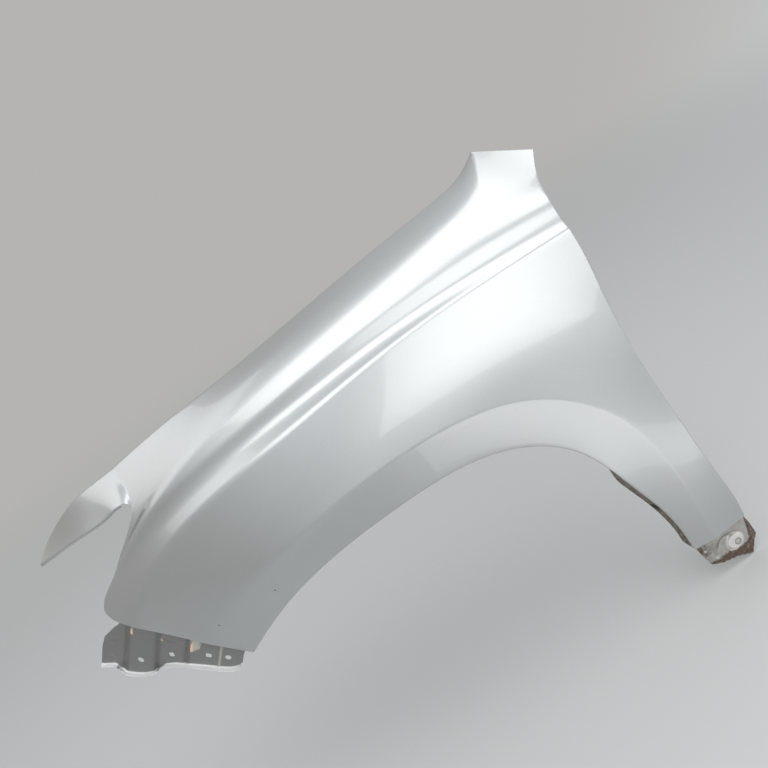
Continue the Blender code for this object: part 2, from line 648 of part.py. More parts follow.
def nearest(rows, x, z):
    """The point of a surface nearest to (x, z) seen from the side, its normal and its row direction."""
    off = (rows[..., 0] - x) ** 2 + (rows[..., 2] - z) ** 2
    i, j = np.unravel_index(off.argmin(), off.shape)
    normal = inward_normals(rows)[i, j]
    y = rows[i, j, 1] - (normal[0] * (x - rows[i, j, 0]) + normal[2] * (z - rows[i, j, 2])) / normal[1]
    return np.array((x, y, z)), normal, unit(np.gradient(rows, axis=1)[i, j])


def lip_places(lip, shares):
    """Where clip holes go in the arch lip: the middle of its width, its normal and its direction."""
    knots = lengths_along(lip[0])
    places = []
    for share in shares:
        at = share * knots[-1]
        foot, rim = (read_line(np.array([at]), knots, row)[0] for row in (lip[3], lip[-1]))
        before, after = read_line(np.array([at - 0.01, at + 0.01]), knots, lip[0])
        places.append(((foot + rim) / 2, unit(np.cross(rim - foot, after - before)), after - before))
    return places


def make_material(name, colour, roughness, metallic):
    """A plain Principled finish."""
    material = bpy.data.materials.new(name)
    material.use_nodes = True
    shader = material.node_tree.nodes["Principled BSDF"]
    shader.inputs["Base Color"].default_value = (*colour, 1)
    shader.inputs["Roughness"].default_value = roughness
    shader.inputs["Metallic"].default_value = metallic
    return material


def new_collection(name, parent):
    """A collection inside another."""
    collection = bpy.data.collections.new(name)
    parent.children.link(collection)
    return collection


def broken_clip(place, material, collection, parent):
    """The black push clip left in the lip: a flat head, and a shank through its hole, broken off."""
    sides = 20
    shank = CLIP_SHANK / 2
    head = CLIP_HEAD / 2
    rings = (
        (shank * 0.55, -CLIP_SHANK_LENGTH),
        (shank, -CLIP_SHANK_LENGTH * 0.75),
        (shank, CLIP_GAP),
        (head, CLIP_GAP),
        (head * 0.96, CLIP_GAP + CLIP_HEAD_THICKNESS * 0.7),
        (head * 0.78, CLIP_GAP + CLIP_HEAD_THICKNESS),
    )
    bm = bmesh.new()
    turns = np.arange(sides) * 2 * math.pi / sides
    loops = [
        [bm.verts.new((radius * math.cos(a), radius * math.sin(a), height)) for a in turns]
        for radius, height in rings
    ]
    for low, high in zip(loops, loops[1:]):
        for k in range(sides):
            after = (k + 1) % sides
            bm.faces.new((low[k], low[after], high[after], high[k]))
    bm.faces.new(loops[0][::-1])
    bm.faces.new(loops[-1])
    bmesh.ops.transform(bm, matrix=placed(*place), verts=bm.verts)
    obj = object_from(bm, "liner_clip", collection, parent)
    obj.data.materials.append(material)
    return obj


def main():
    for obj in list(bpy.data.objects):
        bpy.data.objects.remove(obj, do_unlink=True)
    scene = bpy.context.scene.collection
    parts = new_collection("car_fender", scene)
    cutters = new_collection("cutters", scene)
    cutters.hide_render = True
    panel_holes, bumper_holes, rocker_holes, pillar_holes = (
        new_collection(name, cutters) for name in ("panel_holes", "bumper_holes", "rocker_holes", "pillar_holes")
    )
    paint = make_material("silver paint", (0.62, 0.63, 0.62), 0.32, 0.55)
    bracket_paint = make_material("silver paint on bracket steel", (0.50, 0.51, 0.51), 0.42, 0.45)
    foot_paint = make_material("silver paint under road dirt", (0.55, 0.54, 0.52), 0.48, 0.40)
    inner_paint = make_material("thin silver paint over primer", (0.52, 0.53, 0.53), 0.50, 0.35)
    plastic = make_material("black plastic", (0.02, 0.02, 0.02), 0.50, 0.0)
    centre = bpy.data.objects.new("wheel_centre", None)
    parts.objects.link(centre)

    surfaces, lines, lip, ledge = panel_surfaces()
    panel = sheet_object("outer_panel", surfaces, SHEET, paint, parts, centre)
    rim = ledge[-1][np.argsort(ledge[-1][:, 0])]
    bolts = read_line(np.array(PAD_STATIONS), rim[:, 0], rim) - HOLE_FROM_EDGE * INBOARD
    for k, bolt in enumerate(bolts):
        place = placed(bolt, UP, (1, 0, 0))
        drill(f"hood_bolt_{k}", place, BOLT_HOLE, panel_holes, centre, stretch=1.0 if k else 1.6)
    clips = lip_places(lip, CLIP_SHARES + (BROKEN_CLIP_SHARE,))
    for k, clip in enumerate(clips):
        drill(f"clip_hole_{k}", placed(*clip), CLIP_HOLE, panel_holes, centre, sides=12)
    cut(panel, panel_holes)

    web = bumper_bracket(lines["bumper"])
    bumper = sheet_object("bumper_side_bracket", [web], BRACKET_SHEET, bracket_paint, parts, centre)
    holes = [(hole, 16) for hole in ROUND_HOLES] + [(hole, 4) for hole in SQUARE_HOLES]
    for k, ((station, fall, size), sides) in enumerate(holes):
        point = along(lines["bumper"], np.array([station]))[0][0] + DOWN_THE_BRACKET * fall
        place = placed(*nearest(web[6:-2], point[0], point[2]))
        drill(f"bumper_hole_{k}", place, size, bumper_holes, centre, sides=sides)
    cut(bumper, bumper_holes)

    foot_web, foot_side = rocker_bracket(lines["rocker"])
    foot = sheet_object("rocker_bracket", [foot_web, foot_side], BRACKET_SHEET, foot_paint, parts, centre)
    for k, (hole, size) in enumerate(((FOOT_HOLE, FOOT_HOLE_SIZE), (FOOT_PIN_HOLE, FOOT_PIN_HOLE_SIZE))):
        drill(f"rocker_hole_{k}", placed(*nearest(foot_web[4:], *hole)), size, rocker_holes, centre)
    cut(foot, rocker_holes)

    pillar_web = pillar_bracket(lines["door"])
    pillar = sheet_object(
        "hinge_pillar_bracket", [pillar_web], BRACKET_SHEET, inner_paint, parts, centre, (1, 0.5, 0)
    )
    middle = (pillar_web[4, 2] + pillar_web[4, 3]) / 2
    place = placed(middle, inward_normals(pillar_web[3:])[1, 2], UP)
    drill("pillar_hole", place, PILLAR_HOLE, pillar_holes, centre, stretch=1.4)
    cut(pillar, pillar_holes)

    broken_clip(clips[-1], plastic, parts, centre)
    seat = bolts[SEAT_STATION] + (SEAT_FROM_HOLE, 0, -SHEET)
    centre.location = -Vector(seat)


main()
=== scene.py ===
# %% [markdown]
# # A left front car fender in silver paint
#
# A fender is one large sheet of steel, pressed into a double curve and folded over at every edge,
# with a few small brackets welded on. It has hardly any parts, so its look comes from three things:
# how smoothly its faces run, how its creases are rounded, and how the paint answers the light.
#
# Sculpting could make such a panel, but nobody could change it later. Here each face is a function
# from two numbers to a point, worked out with numpy for a whole grid at once. The grids share their
# edges, so that they weld into one sheet.

# %% Load the frame
import math

import bmesh
import bpy
import numpy as np
from mathutils import Matrix, Vector


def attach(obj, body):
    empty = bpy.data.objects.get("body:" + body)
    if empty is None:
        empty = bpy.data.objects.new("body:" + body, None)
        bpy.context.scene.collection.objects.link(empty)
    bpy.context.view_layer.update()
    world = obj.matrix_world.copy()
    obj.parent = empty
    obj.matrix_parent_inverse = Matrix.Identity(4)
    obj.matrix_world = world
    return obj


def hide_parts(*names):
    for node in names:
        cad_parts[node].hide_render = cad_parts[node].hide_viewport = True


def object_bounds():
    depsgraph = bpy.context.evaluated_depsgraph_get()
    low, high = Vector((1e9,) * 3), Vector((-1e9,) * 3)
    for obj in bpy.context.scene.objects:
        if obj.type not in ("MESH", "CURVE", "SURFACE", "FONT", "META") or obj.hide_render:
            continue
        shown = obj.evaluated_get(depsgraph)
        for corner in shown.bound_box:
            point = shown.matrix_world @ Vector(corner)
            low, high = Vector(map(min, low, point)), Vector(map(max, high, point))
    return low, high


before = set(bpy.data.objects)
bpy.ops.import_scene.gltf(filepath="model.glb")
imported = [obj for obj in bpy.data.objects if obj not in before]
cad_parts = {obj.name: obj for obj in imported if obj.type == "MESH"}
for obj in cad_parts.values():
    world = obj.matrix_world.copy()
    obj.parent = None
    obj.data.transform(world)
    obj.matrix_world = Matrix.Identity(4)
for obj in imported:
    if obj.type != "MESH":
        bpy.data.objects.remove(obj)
CAD_BOX = [list(corner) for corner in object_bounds()]
print("frame box", CAD_BOX)

# %% [markdown]
# ## Where things are
#
# X runs to the rear of the car, Y inboard and Z up. The style lines are drawn about the wheel
# centre, as a body designer would, and everything moves by WHEEL_CENTRE at the end. The origin of the
# frame is the bolt seat on the ledge under the hood's edge.

# %% Sheets and folds
WHEEL_CENTRE = np.array((-0.031, -0.168253, -0.6212))
SHEET = 0.0008
BRACKET_SHEET = 0.0012
WELD_GAP = 0.0003
FOLD_RADIUS = 0.0015
UP = np.array((0.0, 0.0, 1.0))
INBOARD = np.array((0.0, 1.0, 0.0))

# %% [markdown]
# ## Curves
#
# A designer draws a style line through a handful of points. A natural cubic spline is the smoothest
# curve through them: on each span it blends the two end points and their second derivatives, and
# those come from one small linear system. It is read at shares of its length from 0 to 1.

# %% Curve helpers
def unit(vectors):
    """The vectors, each divided by its length."""
    return vectors / np.linalg.norm(vectors, axis=-1, keepdims=True)


def square_to(vectors, directions):
    """The vectors less their share along the directions, each with length one."""
    return unit(vectors - (vectors * directions).sum(axis=-1, keepdims=True) * directions)


def lengths_along(points):
    """Distance from the first point, adding up the steps between neighbours."""
    return np.concatenate([[0.0], np.cumsum(np.linalg.norm(np.diff(points, axis=0), axis=1))])


def read_line(at, knots, values):
    """Rows of values that belong to knots, read at other places in straight steps."""
    return np.stack([np.interp(at, knots, values[:, k]) for k in range(values.shape[1])], axis=-1)


def curve_through(points, shares):
    """Spline: a P0 + b P1 + ((a^3 - a) M0 + (b^3 - b) M1) h^2 / 6 on a span of width h, a = 1 - b."""
    points = np.asarray(points, float)
    knots = lengths_along(points)
    step = np.diff(knots)
    matrix = np.eye(len(points))
    right = np.zeros_like(points)
    for i in range(1, len(points) - 1):
        matrix[i, i - 1 : i + 2] = step[i - 1], 2 * (step[i - 1] + step[i]), step[i]
        right[i] = 6 * ((points[i + 1] - points[i]) / step[i] - (points[i] - points[i - 1]) / step[i - 1])
    bend = np.linalg.solve(matrix, right)
    at = np.asarray(shares, float) * knots[-1]
    i = np.clip(np.searchsorted(knots, at, side="right") - 1, 0, len(step) - 1)
    width = step[i][:, None]
    b = (at - knots[i])[:, None] / width
    a = 1 - b
    cubic = ((a**3 - a) * bend[i] + (b**3 - b) * bend[i + 1]) * width**2 / 6
    return a * points[i] + b * points[i + 1] + cubic


def smooth_step(x):
    """3 x^2 - 2 x^3 between 0 and 1, level outside."""
    x = np.clip(x, 0.0, 1.0)
    return x * x * (3 - 2 * x)


# %% Style lines of the skin, each from the front of the car to the rear
ARCH_EDGE = (
    (-0.2657, 0.054, 0.3012), (-0.200, 0.038, 0.334), (-0.105, 0.026, 0.359), (0.020, 0.022, 0.366),
    (0.130, 0.022, 0.358), (0.215, 0.022, 0.329), (0.283, 0.022, 0.270), (0.319, 0.024, 0.198),
    (0.344, 0.029, 0.134), (0.362, 0.033, 0.078), (0.371, 0.037, 0.021), (0.372, 0.038, 0.0045),
)
FLARE_CREASE = (
    (-0.3117, 0.068, 0.3462), (-0.235, 0.036, 0.382), (-0.150, 0.012, 0.408), (-0.060, 0.002, 0.426),
    (0.050, 0.000, 0.433), (0.150, 0.000, 0.425), (0.240, 0.002, 0.397), (0.310, 0.004, 0.346),
    (0.360, 0.008, 0.275), (0.388, 0.014, 0.190), (0.401, 0.020, 0.100), (0.405, 0.026, 0.0065),
)
SIDE_LINE = (
    (-0.3467, 0.086, 0.3802), (-0.260, 0.048, 0.420), (-0.150, 0.021, 0.456), (0.000, 0.012, 0.486),
    (0.150, 0.011, 0.493), (0.270, 0.0125, 0.477), (0.360, 0.018, 0.450), (0.4295, 0.025, 0.420),
)
DOOR_EDGE = (
    (0.4295, 0.025, 0.420), (0.4290, 0.023, 0.378), (0.4325, 0.021, 0.299), (0.4412, 0.021, 0.214),
    (0.4485, 0.022, 0.148), (0.4590, 0.026, 0.082), (0.4650, 0.029, 0.040), (0.4664, 0.032, 0.004),
)
SHOULDER_CREASE = (
    (-0.3817, 0.100, 0.4142), (-0.330, 0.0805, 0.466), (-0.250, 0.058, 0.505), (-0.150, 0.040, 0.530),
    (0.000, 0.032, 0.549), (0.150, 0.030, 0.561), (0.300, 0.031, 0.561), (0.4355, 0.034, 0.554),
)
VALLEY_LINE = (
    (-0.4092, 0.122, 0.4518), (-0.345, 0.101, 0.486), (-0.260, 0.076, 0.522), (-0.150, 0.056, 0.545),
    (0.000, 0.047, 0.562), (0.150, 0.044, 0.573), (0.300, 0.043, 0.573), (0.4365, 0.043, 0.567),
)
VALLEY_TOP = (
    (-0.352, 0.117, 0.503), (-0.270, 0.088, 0.546), (-0.150, 0.068, 0.573), (0.000, 0.057, 0.591),
    (0.150, 0.053, 0.600), (0.300, 0.052, 0.602), (0.439, 0.054, 0.597),
)
CROWN_LINE = (
    (-0.288, 0.116, 0.560), (-0.210, 0.104, 0.588), (-0.100, 0.092, 0.611), (0.050, 0.085, 0.630),
    (0.200, 0.083, 0.642), (0.350, 0.085, 0.647), (0.457, 0.090, 0.634),
)
HOOD_EDGE = (
    (-0.290, 0.168, 0.610), (-0.200, 0.154, 0.625), (-0.100, 0.146, 0.635), (0.020, 0.142, 0.648),
    (0.150, 0.140, 0.663), (0.270, 0.142, 0.674), (0.335, 0.145, 0.680), (0.378, 0.148, 0.690),
    (0.410, 0.150, 0.708),
)
TAB_CORNER = (0.4825, 0.118, 0.664)
SPUR_LOWER = (
    (-0.288, 0.116, 0.560), (-0.2906, 0.1166, 0.5683), (-0.2998, 0.1184, 0.5720), (-0.3201, 0.1250, 0.5684),
    (-0.3675, 0.1480, 0.5607), (-0.430, 0.190, 0.552), (-0.468, 0.214, 0.546),
)
SPUR_UPPER = (
    (-0.290, 0.168, 0.610), (-0.339, 0.1810, 0.605), (-0.389, 0.2030, 0.592), (-0.430, 0.228, 0.573),
    (-0.458, 0.246, 0.557), (-0.476, 0.254, 0.545),
)
HOOD_SHARE = 0.88
SHOULDER_ROUND = (0.011, 0.004)
VALLEY_ROUND = 0.006
FLARE_ROUND = (0.014, 0.0025)
SHARPENS_UNTIL = 0.70
DRAWN = (
    ARCH_EDGE, FLARE_CREASE, SIDE_LINE, DOOR_EDGE, SHOULDER_CREASE, VALLEY_LINE, VALLEY_TOP, CROWN_LINE,
    HOOD_EDGE, SPUR_LOWER, SPUR_UPPER,
)
print(len(DRAWN), "lines through", sum(len(line) for line in DRAWN), "points")

# %% [markdown]
# ## Lofting the skin
#
# Between two neighbouring style lines the face is a Hermite strip: it leaves one line in a given
# direction and arrives at the next in another. Where the strips on both sides use the same direction
# the face runs through smoothly, and where they don't, there is a crease. A real crease has a radius,
# so each strip stops a little short of it and a parabola joins the two.

# %% Strips between style lines
def speeds(lines):
    """Direction at each line: the slopes of the chords on both sides, the shorter chord counting more."""
    chords = np.diff(lines, axis=0)
    lengths = np.linalg.norm(chords, axis=-1, keepdims=True)
    slopes = chords / lengths
    inner = (slopes[:-1] * lengths[1:] + slopes[1:] * lengths[:-1]) / (lengths[1:] + lengths[:-1])
    first = 1.5 * slopes[0] - 0.5 * inner[0] if len(inner) else slopes[0]
    last = 1.5 * slopes[-1] - 0.5 * inner[-1] if len(inner) else slopes[-1]
    return np.concatenate([[first], inner, [last]])


def between(start, end, speed_start, speed_end, share):
    """Hermite: (2s^3 - 3s^2 + 1) A + (s^3 - 2s^2 + s) L a + (3s^2 - 2s^3) B + (s^3 - s^2) L b."""
    length = np.linalg.norm(end - start, axis=-1, keepdims=True)
    s = np.broadcast_to(np.asarray(share, float), length.shape[:-1])[..., None]
    return (
        (2 * s**3 - 3 * s**2 + 1) * start
        + (s**3 - 2 * s**2 + s) * length * speed_start
        + (3 * s**2 - 2 * s**3) * end
        + (s**3 - s**2) * length * speed_end
    )


def rounded_crease(before, crease, after, shares):
    """Parabola from one face to the other: (1 - w)^2 A + 2 w (1 - w) C + w^2 B."""
    return [(1 - w) ** 2 * before + 2 * w * (1 - w) * crease + w**2 * after for w in shares]


def strips(lines, plan, steps, crease_shares):
    """Rows of the surface through the lines, and the row of each line.

    Each strip of the plan has its directions at both lines, and how far its crease is rounded off.
    """
    rows = []
    line_rows = [0]
    for k, (count, (speed_a, speed_b, round_a, round_b)) in enumerate(zip(steps, plan)):
        start, end = lines[k], lines[k + 1]
        length = np.linalg.norm(end - start, axis=-1)
        first = 0 * length if round_a is None else round_a / length
        last = 1 + 0 * length if round_b is None else 1 - round_b / length
        strip = [
            between(start, end, speed_a, speed_b, first + (last - first) * j / count)
            for j in range(count + 1)
        ]
        if round_a is not None and rows:
            bend = rounded_crease(rows[-1], start, strip[0], crease_shares)
            line_rows[-1] = len(rows) + len(bend) // 2
            rows += bend + strip
        else:
            rows += strip[1:] if rows else strip
        line_rows.append(len(rows) - 1)
    return np.array(rows), line_rows


# %% [markdown]
# ## Two blocks and a spur
#
# The lower block runs from the wheel arch to the middle of the side, and on down the leg behind the
# wheel. The upper one goes from there over the shoulder crease and the valley above it to the crown
# and the hood's edge. Ahead of the headlamp opening only the crown goes on, as a thin spur.

# %% Skin, finer than the frame's
COLUMNS = 210
LEG_COLUMNS = 64
SPUR_COLUMNS = 70
LEG_SHARES = (0.760, 0.685)
DOOR_FADE = 0.80
SPUR_SPACING = (1.7, 1.3)
SPUR_BLEND = 3
SKIN_STEPS = (12, 14, 14, 6, 10, 12, 12)
CREASE_SHARES = (0.2, 0.4, 0.6, 0.8)
PAD_STATIONS = (-0.200, 0.020, 0.210, 0.350)
PAD_HALF_LENGTH = 0.018
PAD_SHOULDER = 0.009


def hood_line(u):
    """The hood's edge at column shares u; its last stretch is the straight top of the rear tab."""
    edge = curve_through(HOOD_EDGE, np.clip(u / HOOD_SHARE, 0, 1))
    on_tab = np.clip((u - HOOD_SHARE) / (1 - HOOD_SHARE), 0, 1)[:, None]
    return edge + on_tab * (np.array(TAB_CORNER) - HOOD_EDGE[-1])


def column_shares(count):
    """Even shares, with the ends of each bolt pad and of the tab added in place of their neighbours."""
    fine = np.linspace(0, HOOD_SHARE, 2000)
    x = hood_line(fine)[:, 0]
    outer = PAD_HALF_LENGTH + PAD_SHOULDER
    offsets = np.array((-outer, -PAD_HALF_LENGTH, PAD_HALF_LENGTH, outer))
    marks = [np.interp(station + offsets, x, fine) for station in PAD_STATIONS]
    marks = np.concatenate(marks + [[0.0, HOOD_SHARE, 1.0]])
    even = np.linspace(0, 1, count + 1)
    far = np.abs(even[:, None] - marks).min(axis=1) > 0.4 / count
    return np.sort(np.concatenate([even[far], marks]))


def skin_blocks(v, leg_columns, steps, crease_shares):
    """The lower and the upper block, the rows of the upper lines, and how the crown leaves its line."""
    leg = np.linspace(0, 1, leg_columns + 1)[1:]
    count = len(v)
    arch, flare = (
        curve_through(line, np.concatenate([v * share, share + leg * (1 - share)]))
        for line, share in zip((ARCH_EDGE, FLARE_CREASE), LEG_SHARES)
    )
    side = np.concatenate([curve_through(SIDE_LINE, v), curve_through(DOOR_EDGE, leg)])
    style = (SHOULDER_CREASE, VALLEY_LINE, VALLEY_TOP, CROWN_LINE)
    upper_lines = np.array([side[:count]] + [curve_through(line, v) for line in style] + [hood_line(v)])
    outward = smooth_step(leg * 1.5)[:, None]
    down_leg = side[count:]
    ahead = (1 - outward) * (upper_lines[1, -1] - side[count - 1]) + outward * (down_leg - flare[count:])
    beyond = np.concatenate([upper_lines[1], down_leg + ahead])
    flare_speed = speeds(np.array([arch, flare]))
    low_speed = speeds(np.array([flare, side, beyond]))
    upper_speed = speeds(upper_lines[1:])
    shoulder = low_speed[2][:count]
    edge = smooth_step((v - DOOR_FADE) / (1 - DOOR_FADE))[:, None]
    leave = low_speed[1][:count] * (1 - edge) + unit(upper_lines[1] - upper_lines[0]) * edge
    fade = smooth_step(v / SHARPENS_UNTIL)
    shoulder_round = SHOULDER_ROUND[0] + (SHOULDER_ROUND[1] - SHOULDER_ROUND[0]) * fade
    fade = np.concatenate([fade, np.ones(leg_columns)])
    flare_round = FLARE_ROUND[0] + (FLARE_ROUND[1] - FLARE_ROUND[0]) * fade
    lower, _ = strips(
        (arch, flare, side),
        ((*flare_speed, None, flare_round), (low_speed[0], low_speed[1], flare_round, None)),
        steps[:2],
        crease_shares,
    )
    plan = [(leave, shoulder, None, shoulder_round)]
    plan.append((upper_speed[0], upper_speed[1], np.minimum(shoulder_round, VALLEY_ROUND), None))
    plan += [(upper_speed[k], upper_speed[k + 1], None, None) for k in (1, 2, 3)]
    upper, upper_at = strips(upper_lines, plan, steps[2:], crease_shares)
    return lower, upper, upper_at, upper_speed[3][0]


def spur_rows(columns, count, first_speed):
    """Hermite rows from the spur's lower edge to its upper one, crowned at the root, flatter at the tip."""
    u = np.linspace(0, 1, columns + 1)
    lower = curve_through(SPUR_LOWER, u ** SPUR_SPACING[0])
    upper = curve_through(SPUR_UPPER, u ** SPUR_SPACING[1])
    chord = unit(upper - lower)
    blend = smooth_step(u * SPUR_BLEND)[:, None]
    speed = first_speed * (1 - blend) + chord * blend
    end_speed = 1.5 * chord - 0.5 * speed
    return np.array([between(lower, upper, speed, end_speed, k / count) for k in range(count + 1)])


# %% [markdown]
# ## Folded edges
#
# A pressed panel is never left with a bare edge. Along the wheel arch it is folded in by two or three
# centimetres, which makes it stiff and gives the liner something to clip to, and every other edge
# has its own flange. A fold is an arc that starts in the plane of the sheet and turns towards its
# inner side, then a straight run. Behind the wheel the lip is wider and opens towards the tyre, so
# that its dirty face shows from outside.

# %% Flanges
LIP_WIDTH = 0.020
LIP_REAR_WIDTH = 0.030
LIP_LEAN = math.radians(4)
LIP_REAR_LEAN = math.radians(20)
LIP_WIDENS = (0.70, 0.12)
BUMPER_FLANGE = 0.020
NOTCH_FLANGE = 0.008
NOTCH_LEAN = math.radians(-6)
NOTCH_ENDS = (3, 2)
BEAK_FLANGE = 0.0035
BEAK_START = 16
ROCKER_FLANGE = 0.028
DOOR_FLANGE = 0.018
FOLD_ROWS = 6


def inward_normals(rows):
    """Normals of a grid, the cross product of its two directions turned to the inboard side."""
    normals = unit(np.cross(np.gradient(rows, axis=1), np.gradient(rows, axis=0)))
    return normals * np.sign((normals * (0, 1, -0.3)).sum(axis=-1, keepdims=True))


def edge_line(edge, inner, normals):
    """An edge with its frame: at each point the direction off the sheet, and the inward normal."""
    tangent = unit(np.gradient(edge, axis=0))
    normals = square_to(normals, tangent)
    return edge, square_to(square_to(edge - inner, tangent), normals), normals


def straight_edge_line(edge, inner):
    """An edge whose flange is folded straight inboard, with its frame."""
    tangent = unit(np.gradient(edge, axis=0) * (1, 0, 1))
    return edge, square_to((edge - inner) * (1, 0, 1), tangent), np.tile(INBOARD, (len(edge), 1))


def folded_flange(edge, away, normals, width, lean, steps=2, radius=FOLD_RADIUS):
    """Arc E + r (sin t * away + (1 - cos t) * normal), t up to 90 degrees less the lean, then straight."""
    turn = math.pi / 2 - np.broadcast_to(np.asarray(lean, float), len(edge))[:, None]
    rows = [edge]
    for share in np.arange(1, FOLD_ROWS + 1) / FOLD_ROWS:
        angle = turn * share
        rows.append(edge + radius * (np.sin(angle) * away + (1 - np.cos(angle)) * normals))
    foot = rows[-1]
    direction = np.cos(turn) * away + np.sin(turn) * normals
    width = np.broadcast_to(np.asarray(width, float), len(edge))[:, None]
    for k in range(1, steps + 1):
        rows.append(foot + direction * width * k / steps)
    return np.array(rows)


# %% Ledge below the hood's edge
HOOD_ROUND = 0.006
DRIP_WALL = 0.020
LEDGE_BEND = 0.0025
LEDGE_WIDTH = 0.014
PAD_DEPTH = 0.014
TIP_TAPER = 0.65
WALL_FADE = (-0.39, 0.075)
LEDGE_FADE = (-0.33, 0.12)


def hood_ledge(edge, inner):
    """Rows over the rounded hood edge, down the drip wall and inboard along the ledge and its pads.

    Wall and ledge get smaller towards the tip of the spur.
    """
    tangent = unit(np.gradient(edge, axis=0))
    inboard = unit(np.cross(UP, tangent))
    inboard *= np.sign(inboard[:, 1:2])
    start = square_to(edge - inner, tangent)
    tilt = np.arctan2(start[:, 2], (start * inboard).sum(axis=-1))[:, None]
    rows = [edge]
    for share in np.arange(1, 9) / 8:
        angle = tilt + (-math.pi / 2 - tilt) * share
        across = (np.sin(tilt) - np.sin(angle)) * inboard
        rows.append(edge + HOOD_ROUND * (across + (np.cos(angle) - np.cos(tilt)) * UP))
    x = edge[:, 0]
    read_at = x.copy()
    pads = np.zeros_like(x)
    for station in PAD_STATIONS:
        off = np.abs(x - station) - PAD_HALF_LENGTH
        pads = np.maximum(pads, 1 - np.clip(off / PAD_SHOULDER, 0, 1))
        read_at += (station - x) * (1 - smooth_step(off / (2 * PAD_HALF_LENGTH)))
    order = np.argsort(x)
    drip_wall = DRIP_WALL * (1 - TIP_TAPER * smooth_step((WALL_FADE[0] - x) / WALL_FADE[1]))
    height = np.interp(read_at, x[order], edge[order, 2]) - HOOD_ROUND - drip_wall
    top = rows[-1]
    wall = top.copy()
    wall[:, 2] = height + LEDGE_BEND
    rows += [top + (wall - top) * k / 3 for k in (1, 2, 3)]
    for angle in np.arange(1, 5) / 4 * math.pi / 2:
        bend = wall + LEDGE_BEND * (1 - math.cos(angle)) * inboard
        bend[:, 2] = height + LEDGE_BEND * (1 - math.sin(angle))
        rows.append(bend)
    foot = rows[-1]
    taper = 1 - TIP_TAPER * smooth_step((LEDGE_FADE[0] - x) / LEDGE_FADE[1])
    reach = (LEDGE_WIDTH * taper + PAD_DEPTH * pads)[:, None] * INBOARD
    return np.array(rows + [foot + reach * k / 3 for k in (1, 2, 3)])


# %% Every face of the outer panel
def joined(*runs):
    """The points of several runs, one after the other."""
    return np.concatenate(runs)


def panel_surfaces():
    """Skin, spur and flanges by name, and the edges that the brackets follow."""
    v = column_shares(COLUMNS)
    low, up, up_at, speed = skin_blocks(v, LEG_COLUMNS, SKIN_STEPS, CREASE_SHARES)
    spur = spur_rows(SPUR_COLUMNS, SKIN_STEPS[-1], speed)
    valley, crown = up_at[2], up_at[4]
    spur[:, 0] = up[crown:, 0]
    low_normals, up_normals, spur_normals = (inward_normals(rows) for rows in (low, up, spur))
    knots = lengths_along(low[0])
    wide = smooth_step((knots / knots[-1] - LIP_WIDENS[0]) / LIP_WIDENS[1])
    lip_width = LIP_WIDTH + (LIP_REAR_WIDTH - LIP_WIDTH) * wide
    lip_lean = LIP_LEAN + (LIP_REAR_LEAN - LIP_LEAN) * smooth_step(wide * 1.6 - 0.6)
    lip = folded_flange(*edge_line(low[0], low[1], low_normals[0]), lip_width, lip_lean, steps=5)
    bumper_line = edge_line(
        joined(low[:, 0], up[1 : valley + 1, 0]),
        joined(low[:, 1], up[1 : valley + 1, 1]),
        joined(low_normals[:, 0], up_normals[1 : valley + 1, 0]),
    )
    bumper = folded_flange(*(field[:-2] for field in bumper_line), BUMPER_FLANGE, 0.0)
    notch_line = edge_line(
        joined(up[valley : crown + 1, 0], spur[0, 1:]),
        joined(up[valley : crown + 1, 1], spur[1, 1:]),
        joined(up_normals[valley : crown + 1, 0], spur_normals[0, 1:]),
    )
    arc = crown - valley
    before_arc = slice(NOTCH_ENDS[0], arc - NOTCH_ENDS[1])
    notch = folded_flange(*(field[before_arc] for field in notch_line), NOTCH_FLANGE, NOTCH_LEAN)
    beak = folded_flange(*(field[arc + BEAK_START :] for field in notch_line), BEAK_FLANGE, NOTCH_LEAN)
    rocker_line = straight_edge_line(low[:, -1], low[:, -2])
    rocker = folded_flange(*rocker_line, ROCKER_FLANGE, 0.0)
    leg = slice(len(low[0]) - 1, len(v) - 1, -1)
    door_line = straight_edge_line(
        joined(low[-1, leg], up[: crown + 1, -1]), joined(low[-2, leg], up[: crown + 1, -2])
    )
    door = folded_flange(*door_line, DOOR_FLANGE, 0.0)
    tab = np.abs(v - HOOD_SHARE).argmin()
    edge = joined(spur[-1, :0:-1], up[-1, : tab + 1])
    ledge = hood_ledge(edge, joined(spur[-2, :0:-1], up[-2, : tab + 1]))
    surfaces = {"lower": low, "upper": up, "spur": spur, "lip": lip, "bumper": bumper, "notch": notch}
    surfaces.update(beak=beak, rocker=rocker, door=door, ledge=ledge)
    return surfaces, {"bumper": bumper_line, "rocker": rocker_line, "door": door_line}


surfaces, edges = panel_surfaces()
print("panel points", sum(rows.shape[0] * rows.shape[1] for rows in surfaces.values()))

# %% [markdown]
# ## From grids to sheet metal
#
# The grids become one mesh: points that lie on each other are made one, so light runs over the seams
# without a break. Solidify then gives the sheet its 0.8 mm, always on the inner side, and gives the
# inner face a second material, because the back of a panel is never painted as well as its front.
# Boolean cuts go in last, and both modifiers are applied.

